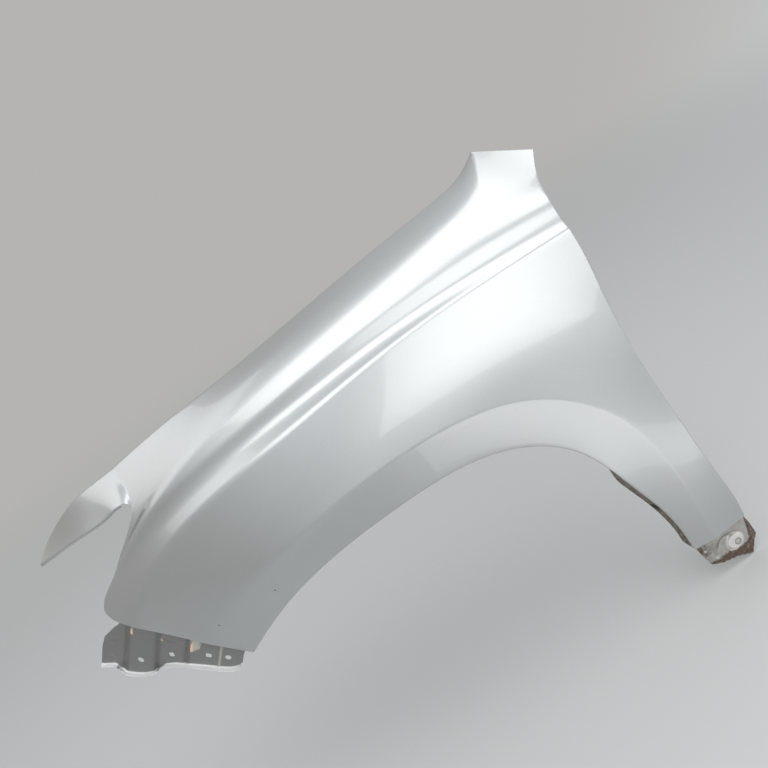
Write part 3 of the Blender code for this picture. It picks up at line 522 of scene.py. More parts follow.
# %% Sheet helpers
def welded(grids):
    """Points and faces of several grids, coinciding points made one; a quad at a pole loses a corner."""
    points = np.concatenate([rows.reshape(-1, 3) for rows in grids])
    quads = []
    start = 0
    for rows in grids:
        high, wide = rows.shape[:2]
        corner = start + (np.arange(high - 1)[:, None] * wide + np.arange(wide - 1)).ravel()
        quads.append(np.stack([corner, corner + 1, corner + wide + 1, corner + wide], axis=-1))
        start += high * wide
    keys = np.round(points * 1e6).astype(np.int64)
    _, first, same = np.unique(keys, axis=0, return_index=True, return_inverse=True)
    quads = same.reshape(-1)[np.concatenate(quads)]
    start_pole = quads[:, 0] == quads[:, 1]
    end_pole = quads[:, 2] == quads[:, 3]
    faces = quads[~start_pole & ~end_pole].tolist()
    return points[first], faces + quads[start_pole][:, 1:].tolist() + quads[end_pole][:, :3].tolist()


def mesh_object(name, points, faces):
    """An object at the origin with its place in its mesh."""
    mesh = bpy.data.meshes.new(name)
    mesh.from_pydata(points.tolist(), [], faces)
    obj = bpy.data.objects.new(name, mesh)
    bpy.context.scene.collection.objects.link(obj)
    return obj


def apply_modifiers(obj):
    """Makes what the modifiers show the object's own mesh."""
    bpy.context.view_layer.update()
    shown = obj.evaluated_get(bpy.context.evaluated_depsgraph_get())
    obj.data = bpy.data.meshes.new_from_object(shown)
    obj.modifiers.clear()


def cylinder(place, size, depth=0.014, sides=40, stretch=1.0):
    """A plug for a round hole, its axis along the Z of place; stretch makes it longer along X."""
    bm = bmesh.new()
    radius = size / 2
    bmesh.ops.create_cone(bm, cap_ends=True, segments=sides, radius1=radius, radius2=radius, depth=depth)
    bmesh.ops.scale(bm, vec=(stretch, 1.0, 1.0), verts=bm.verts)
    return plug_object(bm, place)


def square_plug(place, size, depth=0.014, corner=0.0012):
    """A plug for a square hole with rounded corners."""
    bm = bmesh.new()
    bmesh.ops.create_cube(bm, size=1.0)
    bmesh.ops.scale(bm, vec=(size, size, depth), verts=bm.verts)
    upright = [e for e in bm.edges if abs((e.verts[0].co - e.verts[1].co).z) > depth / 2]
    bmesh.ops.bevel(bm, geom=upright, offset=corner, segments=4, affect="EDGES", profile=0.5)
    return plug_object(bm, place)


def plug_object(bm, place):
    """The plug moved to its place."""
    bmesh.ops.transform(bm, matrix=Matrix.Translation(WHEEL_CENTRE) @ place, verts=bm.verts)
    mesh = bpy.data.meshes.new("plug")
    bm.to_mesh(mesh)
    bm.free()
    obj = bpy.data.objects.new("plug", mesh)
    bpy.context.scene.collection.objects.link(obj)
    return obj


def sheet(name, grids, thickness, facing, plugs=()):
    """One pressed sheet in two finishes, slot 0 outside and slot 1 on the side away from facing."""
    points, faces = welded(grids)
    obj = mesh_object(name, points + WHEEL_CENTRE, faces)
    bm = bmesh.new()
    bm.from_mesh(obj.data)
    bmesh.ops.recalc_face_normals(bm, faces=bm.faces)
    if sum((face.normal * face.calc_area() for face in bm.faces), Vector()).dot(Vector(facing)) < 0:
        bmesh.ops.reverse_faces(bm, faces=bm.faces)
    bm.to_mesh(obj.data)
    bm.free()
    for slot in ("outside", "inside"):
        obj.data.materials.append(bpy.data.materials.new(f"{name} {slot}"))
    solidify = obj.modifiers.new("Sheet", "SOLIDIFY")
    solidify.thickness = thickness
    solidify.offset = -1
    solidify.use_even_offset = True
    solidify.material_offset = 1
    apply_modifiers(obj)
    for plug in plugs:
        cut = obj.modifiers.new("Hole", "BOOLEAN")
        cut.operation = "DIFFERENCE"
        cut.solver = "EXACT"
        cut.object = plug
    if plugs:
        apply_modifiers(obj)
    for plug in plugs:
        bpy.data.meshes.remove(plug.data)
    obj.data.shade_smooth()
    obj.data.set_sharp_from_angle(angle=math.radians(35))
    triangles = sum(len(face.vertices) - 2 for face in obj.data.polygons)
    print(name, len(obj.data.vertices), "points,", triangles, "triangles")
    return obj


# %% Where holes go
def placed(centre, direction, upright):
    """The matrix that puts Z along direction and X near upright, at centre."""
    z = Vector(direction).normalized()
    y = z.cross(Vector(upright)).normalized()
    return Matrix.Translation(Vector(centre)) @ Matrix((y.cross(z), y, z)).transposed().to_4x4()


def lip_place(lip, share):
    """The middle of the arch lip at a share of its length, its normal and its direction."""
    knots = lengths_along(lip[0])
    at = share * knots[-1]
    foot, rim = (read_line(np.array([at]), knots, row)[0] for row in (lip[FOLD_ROWS], lip[-1]))
    before, after = read_line(np.array([at - 0.01, at + 0.01]), knots, lip[0])
    return (foot + rim) / 2, unit(np.cross(rim - foot, after - before)), after - before


def nearest(rows, x, z):
    """The point of a surface nearest to (x, z) seen from the side, its normal and its direction."""
    i, j = np.unravel_index(((rows[..., 0] - x) ** 2 + (rows[..., 2] - z) ** 2).argmin(), rows.shape[:2])
    normal = inward_normals(rows)[i, j]
    y = rows[i, j, 1] - (normal[0] * (x - rows[i, j, 0]) + normal[2] * (z - rows[i, j, 2])) / normal[1]
    return np.array((x, y, z)), normal, unit(np.gradient(rows, axis=1)[i, j])


# %% The outer panel
BOLT_HOLE = 0.009
HOLE_FROM_EDGE = 0.012
CLIP_HOLE = 0.007
CLIP_SHARES = (0.06, 0.23, 0.40, 0.57, 0.74)
BROKEN_CLIP_SHARE = 0.885

rim = surfaces["ledge"][-1]
rim = rim[np.argsort(rim[:, 0])]
bolts = read_line(np.array(PAD_STATIONS), rim[:, 0], rim) - HOLE_FROM_EDGE * INBOARD
plugs = [
    cylinder(placed(bolt, UP, (1, 0, 0)), BOLT_HOLE, stretch=1.0 if k else 1.6)
    for k, bolt in enumerate(bolts)
]
clips = [lip_place(surfaces["lip"], share) for share in CLIP_SHARES + (BROKEN_CLIP_SHARE,)]
plugs += [cylinder(placed(*clip), CLIP_HOLE, sides=28) for clip in clips]
panel = sheet("fender_skin", list(surfaces.values()), SHEET, (0, -1, 0), plugs)

# %% Hand over to the frame
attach(panel, "root")
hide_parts("outer_panel")

# %% [markdown]
# ## The bumper side bracket
#
# Below the front edge hangs a stamped strip that carries the corner of the bumper. Its web is pushed
# in and out in steps, called joggles, so that each bolt pad lies at the depth its neighbour needs.
# The web is a height over two numbers, the distance along the panel's edge and the fall below it,
# so each joggle, bead and dimple is one term added to that height.

# %% Bracket outline
BRACKET_START = 0.012
BRACKET_END = ((0.000, 0.1988), (0.0385, 0.2225), (0.0585, 0.2255), (0.095, 0.2258))
BRACKET_RECESS = 0.009
BRACKET_TOP_FLANGE = 0.009
BRACKET_SLOPE = 0.40
BRACKET_DEPTHS = (
    (0.012, 0.021), (0.0165, 0.028), (0.025, 0.0335), (0.034, 0.036), (0.047, 0.0375), (0.063, 0.0395),
    (0.088, 0.044), (0.100, 0.050), (0.112, 0.053), (0.127, 0.060), (0.1355, 0.070), (0.144, 0.077),
    (0.156, 0.0845), (0.170, 0.0895), (0.186, 0.0925), (0.1925, 0.0905), (0.1985, 0.0865),
    (0.206, 0.0865), (0.2145, 0.090), (0.2258, 0.095),
)
DOWN_THE_BRACKET = np.array((-0.636, 0.0, -0.772))
WEB_LINE = (
    (-0.270, 0.054, 0.295), (-0.316, 0.068, 0.340), (-0.351, 0.086, 0.374), (-0.386, 0.106, 0.408),
    (-0.414, 0.122, 0.437),
)
WEB_TOP = 0.0075
WEB_SETTLES = 0.009
WEB_STEP = 0.003
WEB_LEANS_FROM = 0.004
BRACKET_COLUMNS = 300
WEB_ROWS = 76
BRACKET_LIP = 0.009
BRACKET_LIP_DROP = 0.003
BRACKET_LIP_TURN = 1.25
BRACKET_LIP_SAG = 0.0004
LIP_BEND_ROWS = 7
LIP_RUN_ROWS = 3
LIP_ROWS = LIP_BEND_ROWS + LIP_RUN_ROWS


def on_line(points, stations):
    """Points at distances along a line; past its end it goes straight on."""
    knots = lengths_along(points)
    past = np.maximum(stations - knots[-1], 0)[:, None]
    return read_line(stations, knots, points) + past * unit(points[-1] - points[-2])


def along(line, stations):
    """An edge and its frame read at distances along it."""
    away, inward = (read_line(stations, lengths_along(line[0]), field) for field in line[1:])
    return on_line(line[0], stations), unit(away), unit(inward)


def weld_flange(line, stations, recess, width, bend=0.0030):
    """The top flange lying on the outside of a folded flange, then a quarter circle down to the web."""
    edge, away, inward = along(line, stations)
    clear = FOLD_RADIUS + WELD_GAP
    rows = [edge + inward * (recess + bend + (width - bend) * s) + away * clear for s in (1.0, 0.5)]
    for angle in np.arange(0, 7) / 6 * math.pi / 2:
        reach = recess + bend * (1 - math.sin(angle))
        rows.append(edge + inward * reach + away * (clear + bend * (1 - math.cos(angle))))
    return rows


def softened(values, window):
    """A running mean over the columns, which rounds the corners of a traced outline."""
    padded = np.pad(values, window // 2, mode="edge")
    return np.convolve(padded, np.ones(window) / window, mode="valid")


# %% Joggles, beads and dimples as heights
JOGGLES = ((0.0935, 0.0045), (0.139, -0.0045), (0.1865, 0.0045))
JOGGLE_WIDTH = 0.009
RIB_STATION = 0.045
RIB_HEIGHT = 0.0020
RIB_WIDTH = 0.0022
BEAD_HEIGHT = 0.0007
BEAD_DISTANCE = 0.0062
BEAD_WIDTH = 0.0018
BOLT_SEAT_HEIGHT = 0.0008
BOLT_SEAT_RADIUS = 0.0105
BOLT_SEAT_SLOPE = 0.0022
ROUND_HOLES = ((0.0335, 0.0156, 0.0090), (0.1634, 0.0606, 0.0100))
SQUARE_HOLES = ((0.0617, 0.0191, 0.0085), (0.1164, 0.0373, 0.0085))
DIMPLES = ((0.2085, 0.0420), (0.2118, 0.0752))
DIMPLE_HEIGHT = 0.0020
DIMPLE_RADIUS = 0.0055


def joggle_height(station):
    """Each joggle is a smooth step of its height, as wide as JOGGLE_WIDTH."""
    return sum(step * smooth_step((station - middle) / JOGGLE_WIDTH + 0.5) for middle, step in JOGGLES)


def pressed_height(station, fall):
    """Beads a exp(-(d/w)^2) beside the pads, round seats and dimples, towards the outboard side."""
    height = -RIB_HEIGHT * np.exp(-(((station - RIB_STATION) / RIB_WIDTH) ** 2))
    for middle, _ in JOGGLES:
        height = height - BEAD_HEIGHT * np.exp(-(((station - middle - BEAD_DISTANCE) / BEAD_WIDTH) ** 2))
    seat_station, seat_fall, _ = ROUND_HOLES[0]
    off = np.hypot(station - seat_station, fall - seat_fall)
    height = height - BOLT_SEAT_HEIGHT * smooth_step((BOLT_SEAT_RADIUS - off) / BOLT_SEAT_SLOPE)
    for dimple_station, dimple_fall in DIMPLES:
        off = np.hypot(station - dimple_station, fall - dimple_fall)
        height = height + DIMPLE_HEIGHT * np.exp(-((off / DIMPLE_RADIUS) ** 2) * 1.6)
    return height


# %% Bracket surface
def bracket_rows(line):
    """Weld flange, web and the lip rolled outboard, as one grid; also the web's first row and its line.

    The bottom corner is cut back: there the stations shrink with the fall, as BRACKET_END says.
    """
    depth, end = np.array(BRACKET_END).T
    nominal = np.linspace(BRACKET_START, end[-1], BRACKET_COLUMNS + 1)
    fixed = JOGGLES[-1][0] + JOGGLE_WIDTH / 2
    share = np.clip((nominal - fixed) / (nominal[-1] - fixed), 0, 1)
    low = softened(np.interp(nominal, *np.array(BRACKET_DEPTHS).T), 9)
    rows = weld_flange(line, nominal + (end[0] - end[-1]) * share, BRACKET_RECESS, BRACKET_TOP_FLANGE)
    web_line = curve_through(WEB_LINE, np.linspace(0, 1, 400))
    top = len(rows)
    for k in range(WEB_ROWS + 1):
        fall = WEB_TOP + (low - BRACKET_LIP_DROP - WEB_TOP) * k / WEB_ROWS
        station = nominal + (np.interp(fall, depth, end) - end[-1]) * share
        height = BRACKET_RECESS + WEB_STEP + BRACKET_SLOPE * (fall - WEB_LEANS_FROM)
        fade = smooth_step((fall - WEB_TOP) / WEB_SETTLES)
        height = height + fade * (joggle_height(nominal) + pressed_height(nominal, fall))
        edge = on_line(web_line, station)
        rows.append(edge + DOWN_THE_BRACKET * fall[:, None] + INBOARD * height[:, None])
    web_end = rows[-1]
    for angle in np.arange(1, LIP_BEND_ROWS + 1) / LIP_BEND_ROWS * BRACKET_LIP_TURN:
        across = BRACKET_LIP_DROP * math.sin(angle)
        out = BRACKET_LIP_DROP * (1 - math.cos(angle))
        out -= 0.4 * across * math.cos(angle)
        rows.append(web_end + across * DOWN_THE_BRACKET - out * INBOARD)
    bend = rows[-1]
    reach = BRACKET_LIP - BRACKET_LIP_DROP
    for share in np.arange(1, LIP_RUN_ROWS + 1) / LIP_RUN_ROWS:
        rows.append(bend + (DOWN_THE_BRACKET * BRACKET_LIP_SAG - INBOARD * reach) * share)
    return np.array(rows), top, web_line


bracket_grid, web_top, web_line = bracket_rows(edges["bumper"])
plugs = []
for station, fall, size in ROUND_HOLES + SQUARE_HOLES:
    point = on_line(web_line, np.array([station]))[0] + DOWN_THE_BRACKET * fall
    place = placed(*nearest(bracket_grid[web_top:-LIP_ROWS], point[0], point[2]))
    square = (station, fall, size) in SQUARE_HOLES
    plugs.append(square_plug(place, size) if square else cylinder(place, size))
bumper_bracket = sheet("bumper_bracket", [bracket_grid], BRACKET_SHEET, (0, -1, 0), plugs)
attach(bumper_bracket, "root")
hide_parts("bumper_side_bracket")

# %% [markdown]
# ## The rocker bracket
#
# The leg behind the wheel ends in a small foot that is bolted under the sill. Its web is dished, a
# groove runs round one side of the dish, and a flat oval stands up in it as the seat of the bolt. The
# outline is bent and ragged, because this foot has been wrenched off a car. The web is filled in
# between its four border lines: the two pairs of opposite borders are blended and the corners,
# counted twice, are taken off again.

# %% Rocker bracket surface
FOOT_RECESS = 0.021
FOOT_DROP = 0.080
FOOT_TOP_FLANGE = 0.006
FOOT_TOP = ((0.378, -0.0035), (0.465, -0.0045))
FOOT_LEFT = ((0.378, -0.0035), (0.380, -0.014), (0.384, -0.034), (0.389, 0.030 - FOOT_DROP))
FOOT_RIGHT = ((0.465, -0.0045), (0.471, -0.016), (0.474, -0.036), (0.4745, 0.020 - FOOT_DROP))
FOOT_BOTTOM = (
    FOOT_LEFT[-1], (0.410, 0.023 - FOOT_DROP), (0.434, 0.015 - FOOT_DROP), (0.461, -FOOT_DROP),
    FOOT_RIGHT[-1],
)
FOOT_HOLE = (0.446, -0.042)
FOOT_HOLE_SIZE = 0.008
SEAT_CENTRE = (0.4425, -0.0395)
RING_RADII = (0.0165, 0.0140)
RING_HEIGHT = 0.0014
DISH_CENTRE = (0.426, -0.035)
DISH_RADII = (0.031, 0.020)
DISH_DEPTH = 0.0035
FOOT_PIN_HOLE = (0.389, -0.024)
FOOT_PIN_HOLE_SIZE = 0.005
GROOVE_CENTRE = np.array((0.4280, -0.0440))
GROOVE_RADIUS = 0.0226
GROOVE_WIDTH = 0.0024
GROOVE_DEPTH = 0.0020
GROOVE_TOWARDS = (math.cos(1.80), math.sin(1.80))
FOOT_SIDE = 0.012
FOOT_SIDE_TAPER = 0.35
FOOT_SIDE_LEAN = math.radians(48)
FOOT_BEND = 0.0025
FOOT_COLUMNS = 110
FOOT_ROWS = 90


def polyline(points, shares):
    """Points at shares of the length of a line with straight segments."""
    points = np.asarray(points, float)
    knots = lengths_along(points)
    return read_line(np.asarray(shares, float) * knots[-1], knots, points)


def groove_share(flat):
    """Depth of the kidney groove, 0 to 1: exp(-((r - R) / w)^2) over the upper left part of a circle."""
    off = flat - GROOVE_CENTRE
    radius = np.linalg.norm(off, axis=-1)
    ahead = off @ GROOVE_TOWARDS / np.maximum(radius, 1e-6)
    return np.exp(-(((radius - GROOVE_RADIUS) / GROOVE_WIDTH) ** 2)) * smooth_step((ahead - 0.50) / 0.35)


def rocker_rows(line):
    """Weld flange and dished web as one grid, and the side return that leans back from its rear edge."""
    across = np.linspace(0, 1, FOOT_COLUMNS + 1)
    top = polyline(FOOT_TOP, across)
    bottom = polyline(FOOT_BOTTOM, across)
    ragged = 0.0006 * np.sin(across * 61) + 0.0005 * np.sin(across * 137 + 1)
    bottom[:, 1] += ragged * smooth_step(across * 8) * smooth_step((1 - across) * 8)
    stations = np.interp(top[:, 0], line[0][:, 0], lengths_along(line[0]))
    rows = weld_flange(line, stations, FOOT_RECESS, FOOT_TOP_FLANGE)
    from_top = len(rows)
    seat = np.interp(FOOT_HOLE[0], line[0][:, 0], line[0][:, 1]) + FOOT_RECESS - RING_HEIGHT
    down = np.linspace(0, 1, FOOT_ROWS + 1)
    c = across[:, None]
    for s, start, end in zip(down, polyline(FOOT_LEFT, down), polyline(FOOT_RIGHT, down)):
        flat = (1 - s) * top + s * bottom + (1 - c) * start + c * end
        flat -= (1 - s) * ((1 - c) * top[0] + c * top[-1]) + s * ((1 - c) * bottom[0] + c * bottom[-1])
        dish = 1 - ((flat - DISH_CENTRE) ** 2 / np.square(DISH_RADII)).sum(axis=1)
        ring = 1 - ((flat - SEAT_CENTRE) ** 2 / np.square(RING_RADII)).sum(axis=1)
        depth = np.interp(flat[:, 0], line[0][:, 0], line[0][:, 1]) + FOOT_RECESS
        depth += DISH_DEPTH * smooth_step(dish * 2.2) + GROOVE_DEPTH * groove_share(flat)
        depth += (seat - depth) * smooth_step(ring * 2.5)
        rows.append(np.stack([flat[:, 0], depth, flat[:, 1]], axis=-1))
    web = np.array(rows)
    edge = web[from_top:, -1]
    frame_of_edge = edge_line(edge, web[from_top:, -2], inward_normals(web)[from_top:, -1])
    width = FOOT_SIDE * np.linspace(FOOT_SIDE_TAPER, 1.0, len(edge))
    return web, folded_flange(*frame_of_edge, width, FOOT_SIDE_LEAN, steps=6, radius=FOOT_BEND), from_top


foot_web, foot_side, web_from = rocker_rows(edges["rocker"])
plugs = [
    cylinder(placed(*nearest(foot_web[web_from:], *hole)), size)
    for hole, size in ((FOOT_HOLE, FOOT_HOLE_SIZE), (FOOT_PIN_HOLE, FOOT_PIN_HOLE_SIZE))
]
foot = sheet("rocker_foot", [foot_web, foot_side], BRACKET_SHEET, (0, -1, 0), plugs)
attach(foot, "root")
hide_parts("rocker_bracket")

# %% [markdown]
# ## The hinge pillar bracket
#
# Behind the top of the door edge a Z of steel joins the panel to the pillar. It is one section,
# carried along the edge: a weld flange, a web with two soft bends, and a foot with a slotted hole.

# %% Hinge pillar bracket
PILLAR_HEIGHTS = (0.470, 0.540)
PILLAR_WEB = 0.034
PILLAR_FOOT = 0.026
PILLAR_OVERLAP = 0.012
PILLAR_HOLE = 0.009
PILLAR_HOLE_AT = (47, 20)


def pillar_rows(line):
    """The section's corners replaced by short curves, then carried along the door edge."""
    heights = np.linspace(*PILLAR_HEIGHTS, 41)
    order = np.argsort(line[0][:, 2])
    edge, away, inward = (read_line(heights, line[0][order, 2], field[order]) for field in line)
    clear = FOLD_RADIUS - SHEET - WELD_GAP
    fold = DOOR_FLANGE + FOLD_RADIUS
    corners = np.array((
        (fold - PILLAR_OVERLAP, 0.0), (fold + 0.004, 0.0), (fold + PILLAR_WEB - 0.003, 0.010),
        (fold + PILLAR_WEB, 0.014), (fold + PILLAR_WEB, 0.014 + PILLAR_FOOT),
    ))
    shares = np.linspace(0, 1, 61)
    section = polyline(corners, shares)
    section = np.stack([softened(section[:, k], 5) for k in (0, 1)], axis=-1)
    section[0], section[-1] = corners[0], corners[-1]
    rows = [edge + unit(inward) * reach + unit(away) * (clear - back) for reach, back in section]
    return np.array(rows)


pillar_grid = pillar_rows(edges["door"])
place = placed(pillar_grid[PILLAR_HOLE_AT], inward_normals(pillar_grid)[PILLAR_HOLE_AT], UP)
hole = cylinder(place, PILLAR_HOLE, stretch=1.4)
pillar = sheet("pillar_bracket", [pillar_grid], BRACKET_SHEET, (1, 0.5, 0), [hole])
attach(pillar, "root")
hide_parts("hinge_pillar_bracket")

# %% [markdown]
# ## The broken push clip
#
# One black clip of the wheel arch liner was left in the lip when the liner was torn out. A clip is
# turned round its axis: a domed head, a shank with barbs, and a ragged end where it has snapped.

# %% Push clip
CLIP_SIDES = 48
SNAPPED_END = (-0.0098, 0.0012)
CLIP_PROFILE = (
    (0.0000, -0.0094), (0.0012, -0.0100), (0.0019, -0.0098), (0.0025, -0.0088), (0.0031, -0.0080),
    (0.0026, -0.0068), (0.0024, -0.0056), (0.0030, -0.0050), (0.0025, -0.0040), (0.0023, -0.0014),
    (0.0025, 0.0007), (0.0060, 0.0007), (0.0072, 0.0009), (0.0075, 0.0013), (0.0073, 0.0018),
    (0.0066, 0.0023), (0.0050, 0.0027), (0.0036, 0.0029), (0.0033, 0.0026), (0.0018, 0.0025),
    (0.0000, 0.0025),
)


def turned(profile, sides, place):
    """Radius and height turned round Z: (r cos a, r sin a, h), the snapped end roughened by waves in a."""
    radius, height = np.array(profile).T
    angle = np.arange(sides) * 2 * math.pi / sides
    ends = np.exp(-(((height - SNAPPED_END[0]) / SNAPPED_END[1]) ** 2))[:, None]
    rough = ends * (0.0007 * np.sin(3 * angle + 0.6) + 0.0004 * np.sin(7 * angle)) * (radius > 0)[:, None]
    grid = np.stack([
        radius[:, None] * np.cos(angle), radius[:, None] * np.sin(angle), height[:, None] + rough,
    ], axis=-1)
    matrix = np.array(Matrix.Translation(WHEEL_CENTRE) @ place)
    return np.concatenate([grid, grid[:, :1]], axis=1) @ matrix[:3, :3].T + matrix[:3, 3]


clip = mesh_object("push_clip", *welded([turned(CLIP_PROFILE, CLIP_SIDES, placed(*clips[-1]))]))
clean = bmesh.new()
clean.from_mesh(clip.data)
bmesh.ops.recalc_face_normals(clean, faces=clean.faces)
clean.to_mesh(clip.data)
clean.free()
clip.data.shade_smooth()
clip.data.set_sharp_from_angle(angle=math.radians(40))
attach(clip, "root")
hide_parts("liner_clip")
print("clip points", len(clip.data.vertices))

# %% [markdown]
# ## Building materials
#
# A material is a small graph of nodes, so a few helpers keep its cells short: one adds a node and
# fills its sockets, the others wrap the nodes that come up again and again. A socket gets a
# number, a colour or the output of another node.

# %% Node helpers
def wire(tree, socket, value):
    """Joins an output to a socket, or writes a plain value into it."""
    if isinstance(value, bpy.types.NodeSocket):
        tree.links.new(value, socket)
    elif hasattr(socket.default_value, "__len__") and not hasattr(value, "__len__"):
        socket.default_value = (value,) * len(socket.default_value)
    else:
        socket.default_value = value


def add(tree, kind, values=(), **settings):
    """A new node with its settings, and its input sockets filled by name or number."""
    node = tree.nodes.new(kind)
    for key, value in settings.items():
        setattr(node, key, value)
    for key, value in dict(values).items():
        wire(tree, node.inputs[key], value)
    return node


def maths(tree, operation, result, *values):
    """Math nodes that take in one value after the other."""
    for value in values:
        result = add(tree, "ShaderNodeMath", {0: result, 1: value}, operation=operation).outputs[0]
    return result


def times(tree, *values):
    """The product of the values."""
    return maths(tree, "MULTIPLY", *values)


def plus(tree, *values):
    """The sum of the values."""
    return maths(tree, "ADD", *values)


def largest(tree, *values):
    """The largest of the values."""
    return maths(tree, "MAXIMUM", *values)


def vector_maths(tree, operation, *values, out=0):
    """A Vector Math node's result."""
    return add(tree, "ShaderNodeVectorMath", enumerate(values), operation=operation).outputs[out]


def rescale(tree, value, low, high, to_low=0.0, to_high=1.0, smooth=True):
    """A Map Range node: low becomes to_low and high becomes to_high."""
    values = enumerate((value, low, high, to_low, to_high))
    kind = "SMOOTHSTEP" if smooth else "LINEAR"
    return add(tree, "ShaderNodeMapRange", values, interpolation_type=kind).outputs[0]


def slope(tree, mask, at_zero, at_one):
    """A number that goes straight from one value to the other with a mask."""
    return rescale(tree, mask, 0.0, 1.0, at_zero, at_one, smooth=False)


def mix(tree, share, one, other):
    """The first colour at share 0, the second at share 1."""
    node = tree.nodes.new("ShaderNodeMix")
    node.data_type = "RGBA"
    for key, value in ((0, share), (6, one), (7, other)):
        wire(tree, node.inputs[key], (*value, 1.0) if isinstance(value, tuple) else value)
    return node.outputs[2]


def tinted(tree, colour, shade):
    """A colour multiplied by another or by a number."""
    values = {0: 1.0, 6: (*colour, 1.0) if isinstance(colour, tuple) else colour, 7: shade}
    return add(tree, "ShaderNodeMix", values, data_type="RGBA", blend_type="MULTIPLY").outputs[2]


def noise(tree, place, scale, detail=3.0, roughness=0.55, distortion=0.0):
    """Noise between 0 and 1 at a place, scale in cells for each metre."""
    node = add(tree, "ShaderNodeTexNoise", {"Vector": place, "Scale": scale, "Detail": detail})
    wire(tree, node.inputs["Roughness"], roughness)
    wire(tree, node.inputs["Distortion"], distortion)
    return node.outputs["Fac"]


def own_place(tree):
    """The place on the object in metres."""
    return add(tree, "ShaderNodeTexCoord").outputs["Object"]


def along_axis(tree, place, axis):
    """One coordinate of a place."""
    return add(tree, "ShaderNodeSeparateXYZ", {0: place}).outputs[axis]


def own_value(tree, name):
    """A number that is stored at each point of the mesh."""
    return add(tree, "ShaderNodeAttribute", attribute_name=name).outputs["Fac"]


def relief(tree, shader, height, strength):
    """Bump from a height in metres."""
    bump = add(tree, "ShaderNodeBump", {"Height": height, "Distance": 1.0, "Strength": strength})
    wire(tree, shader["Normal"], bump.outputs["Normal"])


def new_group(name, inputs, outputs):
    """A node group with named sockets, and its input and output nodes."""
    group = bpy.data.node_groups.new(name, "ShaderNodeTree")
    for title, kind, value in inputs:
        socket = group.interface.new_socket(title, in_out="INPUT", socket_type=kind)
        if value is not None:
            socket.default_value = value
    for title, kind in outputs:
        group.interface.new_socket(title, in_out="OUTPUT", socket_type=kind)
    return group, group.nodes.new("NodeGroupInput").outputs, group.nodes.new("NodeGroupOutput").inputs


def use(tree, group, **values):
    """Places a group in a material; underscores in the names stand for spaces."""
    named = {key.replace("_", " "): value for key, value in values.items()}
    return add(tree, "ShaderNodeGroup", named, node_tree=group).outputs


def finish_for(obj, slot, name):
    """A new material for one slot of a piece; returns its tree and its Principled shader's inputs."""
    material = bpy.data.materials.new(name)
    material.use_nodes = True
    while len(obj.data.materials) <= slot:
        obj.data.materials.append(material)
    obj.data.materials[slot] = material
    return material.node_tree, material.node_tree.nodes["Principled BSDF"].inputs


COLOUR, NUMBER, PLACE = "NodeSocketColor", "NodeSocketFloat", "NodeSocketVector"

# %% [markdown]
# ## Where dirt and wear gather
#
# Paint wears along the folds and dirt collects behind them, so the finishes need to know how near a
# point is to the folded edges. The distances are worked out once from the grids, for whole meshes
# at a time, and stored as point attributes.

# %% Distances stored on the panel
LIP_REACH = 0.034


def mesh_points(obj):
    """All points of a mesh as rows, in the wheel centre's frame."""
    flat = np.empty(len(obj.data.vertices) * 3)
    obj.data.vertices.foreach_get("co", flat)
    return flat.reshape(-1, 3) - WHEEL_CENTRE


def nearest_on(points, line):
    """Distance of each point to the nearest of the line's points, and which one that is."""
    index = np.empty(len(points), int)
    for start in range(0, len(points), 20000):
        part = points[start : start + 20000]
        squares = (part**2).sum(axis=1)[:, None] - 2 * part @ line.T + (line**2).sum(axis=1)
        index[start : start + 20000] = squares.argmin(axis=1)
    return np.linalg.norm(points - line[index], axis=1), index


def store(obj, name, values):
    """Writes one number for each point of the mesh."""
    attribute = obj.data.attributes.new(name, "FLOAT", "POINT")
    attribute.data.foreach_set("value", np.asarray(values, np.float32))


def dense(line, count=1500):
    """A line read at evenly spaced points."""
    return polyline(line, np.linspace(0, 1, count))


points = mesh_points(panel)
arch_line = dense(surfaces["lower"][0])
from_arch, at_arch = nearest_on(points, arch_line)
behind = points[:, 1] - arch_line[at_arch, 1]
store(panel, "arch", from_arch)
store(panel, "lip", np.clip((behind - SHEET) / 0.004, 0, 1) * (from_arch < LIP_REACH))
folds = [dense(edges[name][0], 700) for name in ("bumper", "rocker", "door")]
folds.append(dense(surfaces["ledge"][0], 900))
from_folds = [from_arch] + [nearest_on(points, line)[0] for line in folds]
store(panel, "fold", np.min(from_folds, axis=0))
print("stored", [layer.name for layer in panel.data.attributes if layer.data_type == "FLOAT"])

# %% [markdown]
# ## Shared effects
#
# Three effects come back on several pieces. Flake is the sparkle of the aluminium scales in silver
# paint, each scale tilted its own way. Orange peel is the very shallow waviness of sprayed lacquer,
# which bends reflections a little. Grime is road dirt: brown, patchy, thickest where a mask sends it.

# %% Flake, orange peel and grime
FLAKES = 2600.0

flake, given, sent = new_group(
    "metal flake",
    [("Place", PLACE, None), ("Scale", NUMBER, FLAKES), ("Strength", NUMBER, 0.05)],
    [("Shade", NUMBER)],
)
cells = add(flake, "ShaderNodeTexVoronoi", {"Vector": given["Place"], "Scale": given["Scale"]})
tone = add(flake, "ShaderNodeSeparateColor", {"Color": cells.outputs["Color"]}).outputs["Red"]
spread = times(flake, maths(flake, "SUBTRACT", tone, 0.5), given["Strength"])
wire(flake, sent["Shade"], plus(flake, spread, 1.0))

peel, given, sent = new_group(
    "orange peel",
    [("Place", PLACE, None), ("Depth", NUMBER, 0.00002), ("Scale", NUMBER, 260.0)],
    [("Height", NUMBER)],
)
fine = noise(peel, given["Place"], given["Scale"], 2.0, 0.5)
broad = noise(peel, given["Place"], 38.0, 1.0, 0.5)
wire(peel, sent["Height"], times(peel, plus(peel, fine, times(peel, broad, 2.2)), given["Depth"]))

